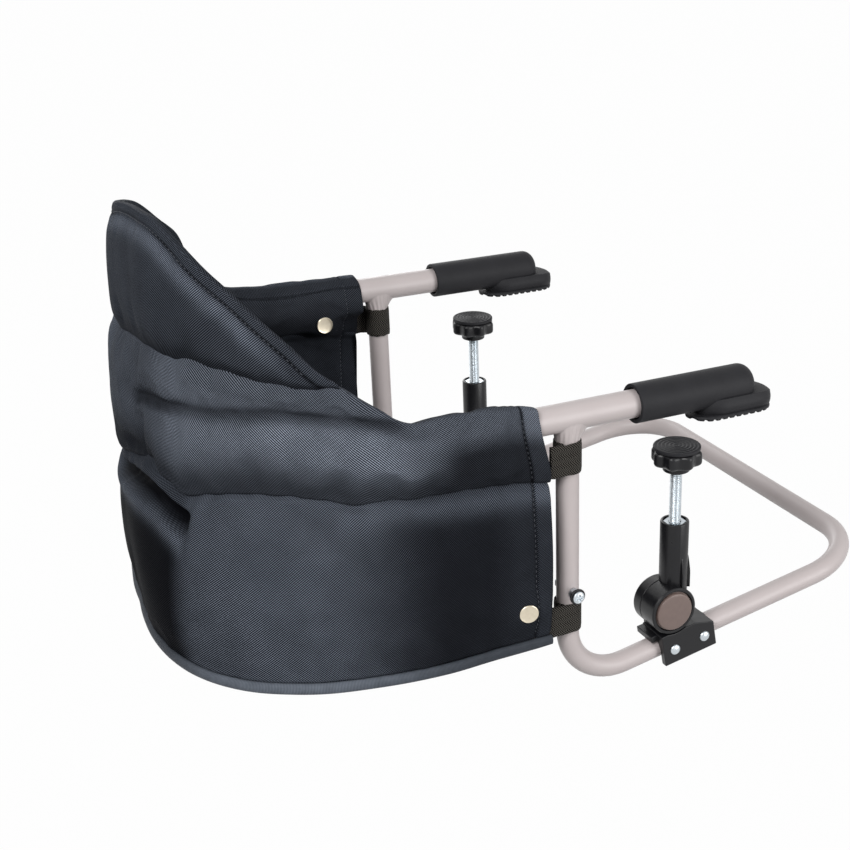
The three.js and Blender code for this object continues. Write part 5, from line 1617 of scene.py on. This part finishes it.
# %% Sew the rows
stitches = stitch_row(*edge_path())
for points, along, places, sign in (
    (band_points, full_along, slice(2, outside.size - 2), 1),
    (band_points, full_along, slice(outside.size + 2, share.size - 2), -1),
    (skirt_points, skirt_full, slice(1, skirt_outside.size - 3), 1),
    (skirt_points, skirt_full, slice(skirt_outside.size + 3, skirt_share.size - 1), -1),
):
    stitches = stitches + front_stitches(points, along, places, sign)
piece("seam_stitches", stitches, thread)
print("stitch faces:", sum(len(face) for face in stitches.faces))

# %% [markdown]
# ## Hem tape
# The skirt's lower edge is bound with folded tape. It is an oval section carried along the edge, a little
# smaller at both ends, and looks like piping with a dark groove above it.

# %% Tape
HEM_STEP = 4.0
HEM_MIDDLE = -157.4
TAPE_OFFSET = -2.6
TAPE_HALF_ACROSS = 3.4
TAPE_HALF_UP = 4.6
hem_reach = WALL_FRONT - 0.5
hem_along = np.linspace(-hem_reach, hem_reach, 2 * round(hem_reach / HEM_STEP) + 1)
hem_wave = 0.35 * unevenness(hem_along, 0 * hem_along, size=30, seed=21)
hem_path = wall_point(hem_along, through(hem_along, HEM_OFFSET) + TAPE_OFFSET + hem_wave, HEM_MIDDLE)
place = np.arange(hem_along.size)
taper = np.sqrt(np.clip(np.minimum(place, place[::-1]) / 3, 0.05, 1))[:, None, None]
section = circle(1.0, 20) * (TAPE_HALF_ACROSS, TAPE_HALF_UP) * (0.9 + 0.1 * taper)
around = np.linspace(0, TURN * TAPE_HALF_UP, section.shape[1])
from_back = np.abs(hem_along)
# Painted light on the hem tape: a painted highlight round the bends, fading along the sides, and painted
# shade behind the back and at the front.
painted_light = 0.35 + 0.55 * ease(from_back, 60, 130) * (1 - ease(from_back, 180, 300))
tape_weave = np.stack(np.broadcast_arrays(hem_along[:, None], around, painted_light[:, None]), -1)
hem = piece("hem_tape", swept(hem_path, section), tape, ["hem_binding"], sharp=60, weave=tape_weave)
print("hem tape:", len(hem.data.polygons), "faces")

# %% [markdown]
# ## Floor, board and cushion
# The seat's bottom is a cloth panel sewn into the hem. On it lies a thin cushion whose cover goes down
# round a fibre board, so that no bare edge shows. The panel is a stretched sheet. The cushion is remeshed to
# even squares and filled by the cloth simulation.

# %% Seat bottom
HEM_FOLD = 5.6
SLAB_ROWS = 56
SLAB_PLACES = 48


def bottom_slab(inset, front_inset, low, high, crown):
    """Rows across the seat's bottom from the back to the front; each goes over the top and back under.
    crown is the share of the height that the top keeps at the rim."""
    along = np.linspace(2.0, WALL_FRONT - front_inset, SLAB_ROWS)
    right, left = (wall_point(s, through(s, HEM_OFFSET) - HEM_FOLD - inset, 0) for s in (-along, along))
    v = np.concatenate((np.linspace(0, 1, SLAB_PLACES), np.linspace(1, 0, SLAB_PLACES)))
    points = right[:, None] + (left - right)[:, None] * v[None, :, None]
    across = np.clip(1 - np.abs(2 * v - 1), 0, 1)[None, :]
    ahead = np.linspace(0, 1, SLAB_ROWS)
    forwards = np.clip(np.minimum(ahead, ahead[::-1]) * 2, 0, 1)[:, None]
    full = crown + (1 - crown) * np.clip(np.minimum(across, forwards) * 5, 0, 1) ** 0.5
    points[..., 2] = np.where(np.arange(v.size) < SLAB_PLACES, low + (high - low) * full, low)
    return points


floor_points = bottom_slab(0.2, 0.5, -161.5, -159.3, 1.0)
floor_points[..., 2] += 0.2 * unevenness(floor_points[..., 0], floor_points[..., 1], size=50, seed=31)
floor = piece("floor_cloth", closed(floor_points), twill_up, ["floor_panel"], sharp=60,
              weave=floor_points[..., :2])

# %% [markdown]
# The cushion starts as a plain slab. Its lower part, beside and under the board, is pinned while the rest
# swells, and a slow unevenness gives its top the look of wadding.

# %% Cushion
PAD_LOW = -158.9
PAD_HIGH = -138.5
BOARD_TOP = -153.9
PAD_VOXEL = 4.6
cushion = piece("seat_pad", closed(bottom_slab(2.6, 1.6, PAD_LOW, PAD_HIGH, 0.42)), twill_down,
                ["seat_cushion"], sharp=180)
even = cushion.modifiers.new("even", "REMESH")
even.mode = "VOXEL"
even.voxel_size = PAD_VOXEL * MM
evened = bpy.data.meshes.new_from_object(cushion.evaluated_get(bpy.context.evaluated_depsgraph_get()))
cushion.modifiers.remove(even)
cushion.data = evened
evened.shade_smooth()
start = points_of(evened) / MM
thread_lines(cushion, start[:, :2])
pad_points = swell(cushion, start[:, 2] < BOARD_TOP + 0.8, pressure=4.0, spare=0.02, most=3.0)
tuft = unevenness(pad_points[:, 0], pad_points[:, 1], size=55, seed=33)
pad_points[:, 2] += np.where(pad_points[:, 2] > PAD_HIGH - 9, 0.5 * tuft, 0)
pad_points[:, 2] = np.clip(pad_points[:, 2], PAD_LOW - 0.3, None)
settle(cushion, pad_points)
print("cushion points:", len(start))

# %% [markdown]
# ## Straps
# Four loops of herringbone webbing tie the seat to the posts: one high and one low on each side. A strap is a
# flat rectangle carried round the post and back along the wall, with a slightly uneven edge.

# %% Straps
STRAP_HALF = 0.75
STRAP_WIDTH = 25.0
STRAP_REACH = POST_RADIUS + 0.3 + 0.9
STRAPS = {"upper": (19.5, -22.0, 41), "lower": (44.5, -157.0, 42)}


def strap(tail, low, seed):
    """A path in plan: along the tail, once round the post and back beside itself. The section is the
    webbing's thickness by its width, and its edges wander by a few tenths of a millimetre."""
    turn = np.linspace(math.pi / 2, -1.25 * math.pi, 72)
    loop = STRAP_REACH * np.stack((np.cos(turn), np.sin(turn)), -1)
    tail_out = np.column_stack((np.linspace(-tail, -1, 18), np.full(18, STRAP_REACH)))
    tail_back = np.column_stack((np.linspace(-14, -tail, 14), np.full(14, STRAP_REACH - 1.8)))
    plan = np.vstack((tail_out, loop, [(-9.5, 6.2), (-12, 7.8)], tail_back))
    place = lengths(plan)
    ahead = unit(np.gradient(plan, axis=0))
    normal = np.stack((-ahead[:, 1], ahead[:, 0]), -1)
    across = np.concatenate((np.linspace(0, 1, 9), np.linspace(1, 0, 9)))
    is_edge = np.abs(2 * across - 1) > 0.99
    face = np.where(np.arange(18) < 9, STRAP_HALF, -STRAP_HALF) * (1 - 0.35 * is_edge)
    x, y = np.moveaxis(plan[:, None] + normal[:, None] * face[None, :, None], -1, 0)
    fray = 0.35 * unevenness(place, 0 * place, size=7, seed=seed)[:, None] * (2 * across - 1) ** 3
    weave = np.stack(np.broadcast_arrays(place[:, None], STRAP_WIDTH * across), -1)
    return shell(x, y, low + STRAP_WIDTH * across + fray).moved(x=POST_X), weave


for name, (tail, low, seed) in STRAPS.items():
    strap_skin, strap_weave = strap(tail, low, seed)
    pair(f"{name}_webbing", strap_skin, webbing, f"{name}_strap", sharp=60, weave=strap_weave)

# %% [markdown]
# ## Press studs
# The press studs are flat discs of champagne nickel with a slight rim: one outside, low on the skirt, which
# leans with the cloth, and one inside on the band, which faces inwards.

# %% Press studs
STUD_YAW = math.radians(14)
LOWER_STUD = (-109.0, 19.2, -125.0)
UPPER_STUD = (-124.0, -18.6, 0.0)
stud_profile = [(0.3, 1.25), (5.6, 1.2), (6.4, 1.35), (7.0, 1.5), (7.4, 1.2), (7.5, 0.6), (7.3, 0.0),
                (2, -0.2), (2, -5), (0.3, -5)]
stud = lathe(stud_profile, "y", 64)
leaned = [[math.cos(STUD_YAW), -math.sin(STUD_YAW), 0], [math.sin(STUD_YAW), math.cos(STUD_YAW), 0],
          [0, 0, 1]]
pair("skirt_stud", stud.turned(leaned).moved(*LOWER_STUD), nickel, "lower_stud")
pair("band_stud", stud.turned(np.diag([-1.0, -1.0, 1.0])).moved(*UPPER_STUD), nickel, "upper_stud")

# %% [markdown]
# ## Solids that stay
# Some solids are right as they are: nuts, the lock gear and the seat's board are hidden or plain.
# They keep their shape and only get a finish.

# %% Finish the remaining solids
KEPT = {"stop_nut": zinc, "hub_nut": zinc, "clamp_nut": zinc, "lock_gear": nylon}
kept = {f"{side}_{node}": finish for side in SIDES for node, finish in KEPT.items()} | {"seat_board": fibre}
for node, finish in kept.items():
    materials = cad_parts[node].data.materials
    materials.clear()
    materials.append(finish.material)
print("kept solids:", len(kept))

# %% [markdown]
# ## Backdrop and light
# The picture is a plain studio shot on white. The backdrop's white is in its colour and in what the camera
# and reflections see of it. To the light it is a grey floor and a dim white sky.

# %% Backdrop
FLOOR_Z = -0.74
FLOOR_REACH = 40.0
FLOOR_GLOW = 0.985
SKY_LEVEL = 0.31
WHITE = (1, 1, 1, 1)


def studio_floor():
    """A wide flat square under the object, white to the camera and in reflections, grey to the light."""
    reach = np.linspace(-FLOOR_REACH, FLOOR_REACH, 5)
    x, y = np.meshgrid(reach, reach, indexing="ij")
    skin = grid(np.stack((x, y, np.full_like(x, FLOOR_Z)), -1))
    mesh = bpy.data.meshes.new("studio_floor")
    mesh.from_pydata(skin.points.tolist(), [], skin.faces[0].tolist())
    ground = bpy.data.objects.new("studio_floor", mesh)
    scene.collection.objects.link(ground)
    paper = Finish("studio_paper", "board", Base_Color=tint(150, 150, 150), Roughness=0.9)
    glow = paper.node("ShaderNodeEmission", None, {"Color": WHITE, "Strength": 1.0})
    matt = Value(paper, paper.shader.outputs[0])
    blend = paper.node("ShaderNodeMixShader", None, {0: paper.in_sight() * FLOOR_GLOW, 1: matt, 2: glow})
    paper.feed(paper.tree.nodes["Material Output"].inputs["Surface"], blend)
    mesh.materials.append(paper.material)


studio_floor()
world = bpy.data.worlds.new("white_studio")
world.use_nodes = True
sky = Network(world.node_tree)
backdrop = sky.tree.nodes["Background"].inputs
sky.feed(backdrop["Color"], WHITE)
sky.feed(backdrop["Strength"], SKY_LEVEL + (1 - SKY_LEVEL) * sky.in_sight())
scene.world = world
scene.view_settings.view_transform = "Standard"
print("sky level:", SKY_LEVEL)

# %% [markdown]
# The light is a large soft lamp from behind the right arm, one as low as the seat from the right and a weak
# one from the left, at a level where a colour looks about as it is written.

# %% Lamps
AIM = Vector((-0.08, 0.0, -0.05))


def lamp(name, place, size, watts):
    """A square area lamp that points at the middle of the chair."""
    light = bpy.data.lights.new(name, "AREA")
    light.size = size
    light.energy = watts
    obj = bpy.data.objects.new(name, light)
    scene.collection.objects.link(obj)
    obj.location = place
    obj.rotation_euler = (AIM - Vector(place)).to_track_quat("-Z", "Y").to_euler()


lamp("key_lamp", (-1.9, -1.4, 1.7), 1.3, 48)
lamp("fill_lamp", (1.3, -2.3, 0.45), 1.6, 38)
lamp("far_lamp", (0.4, 2.6, 0.9), 1.6, 20)
print("lamps ready")
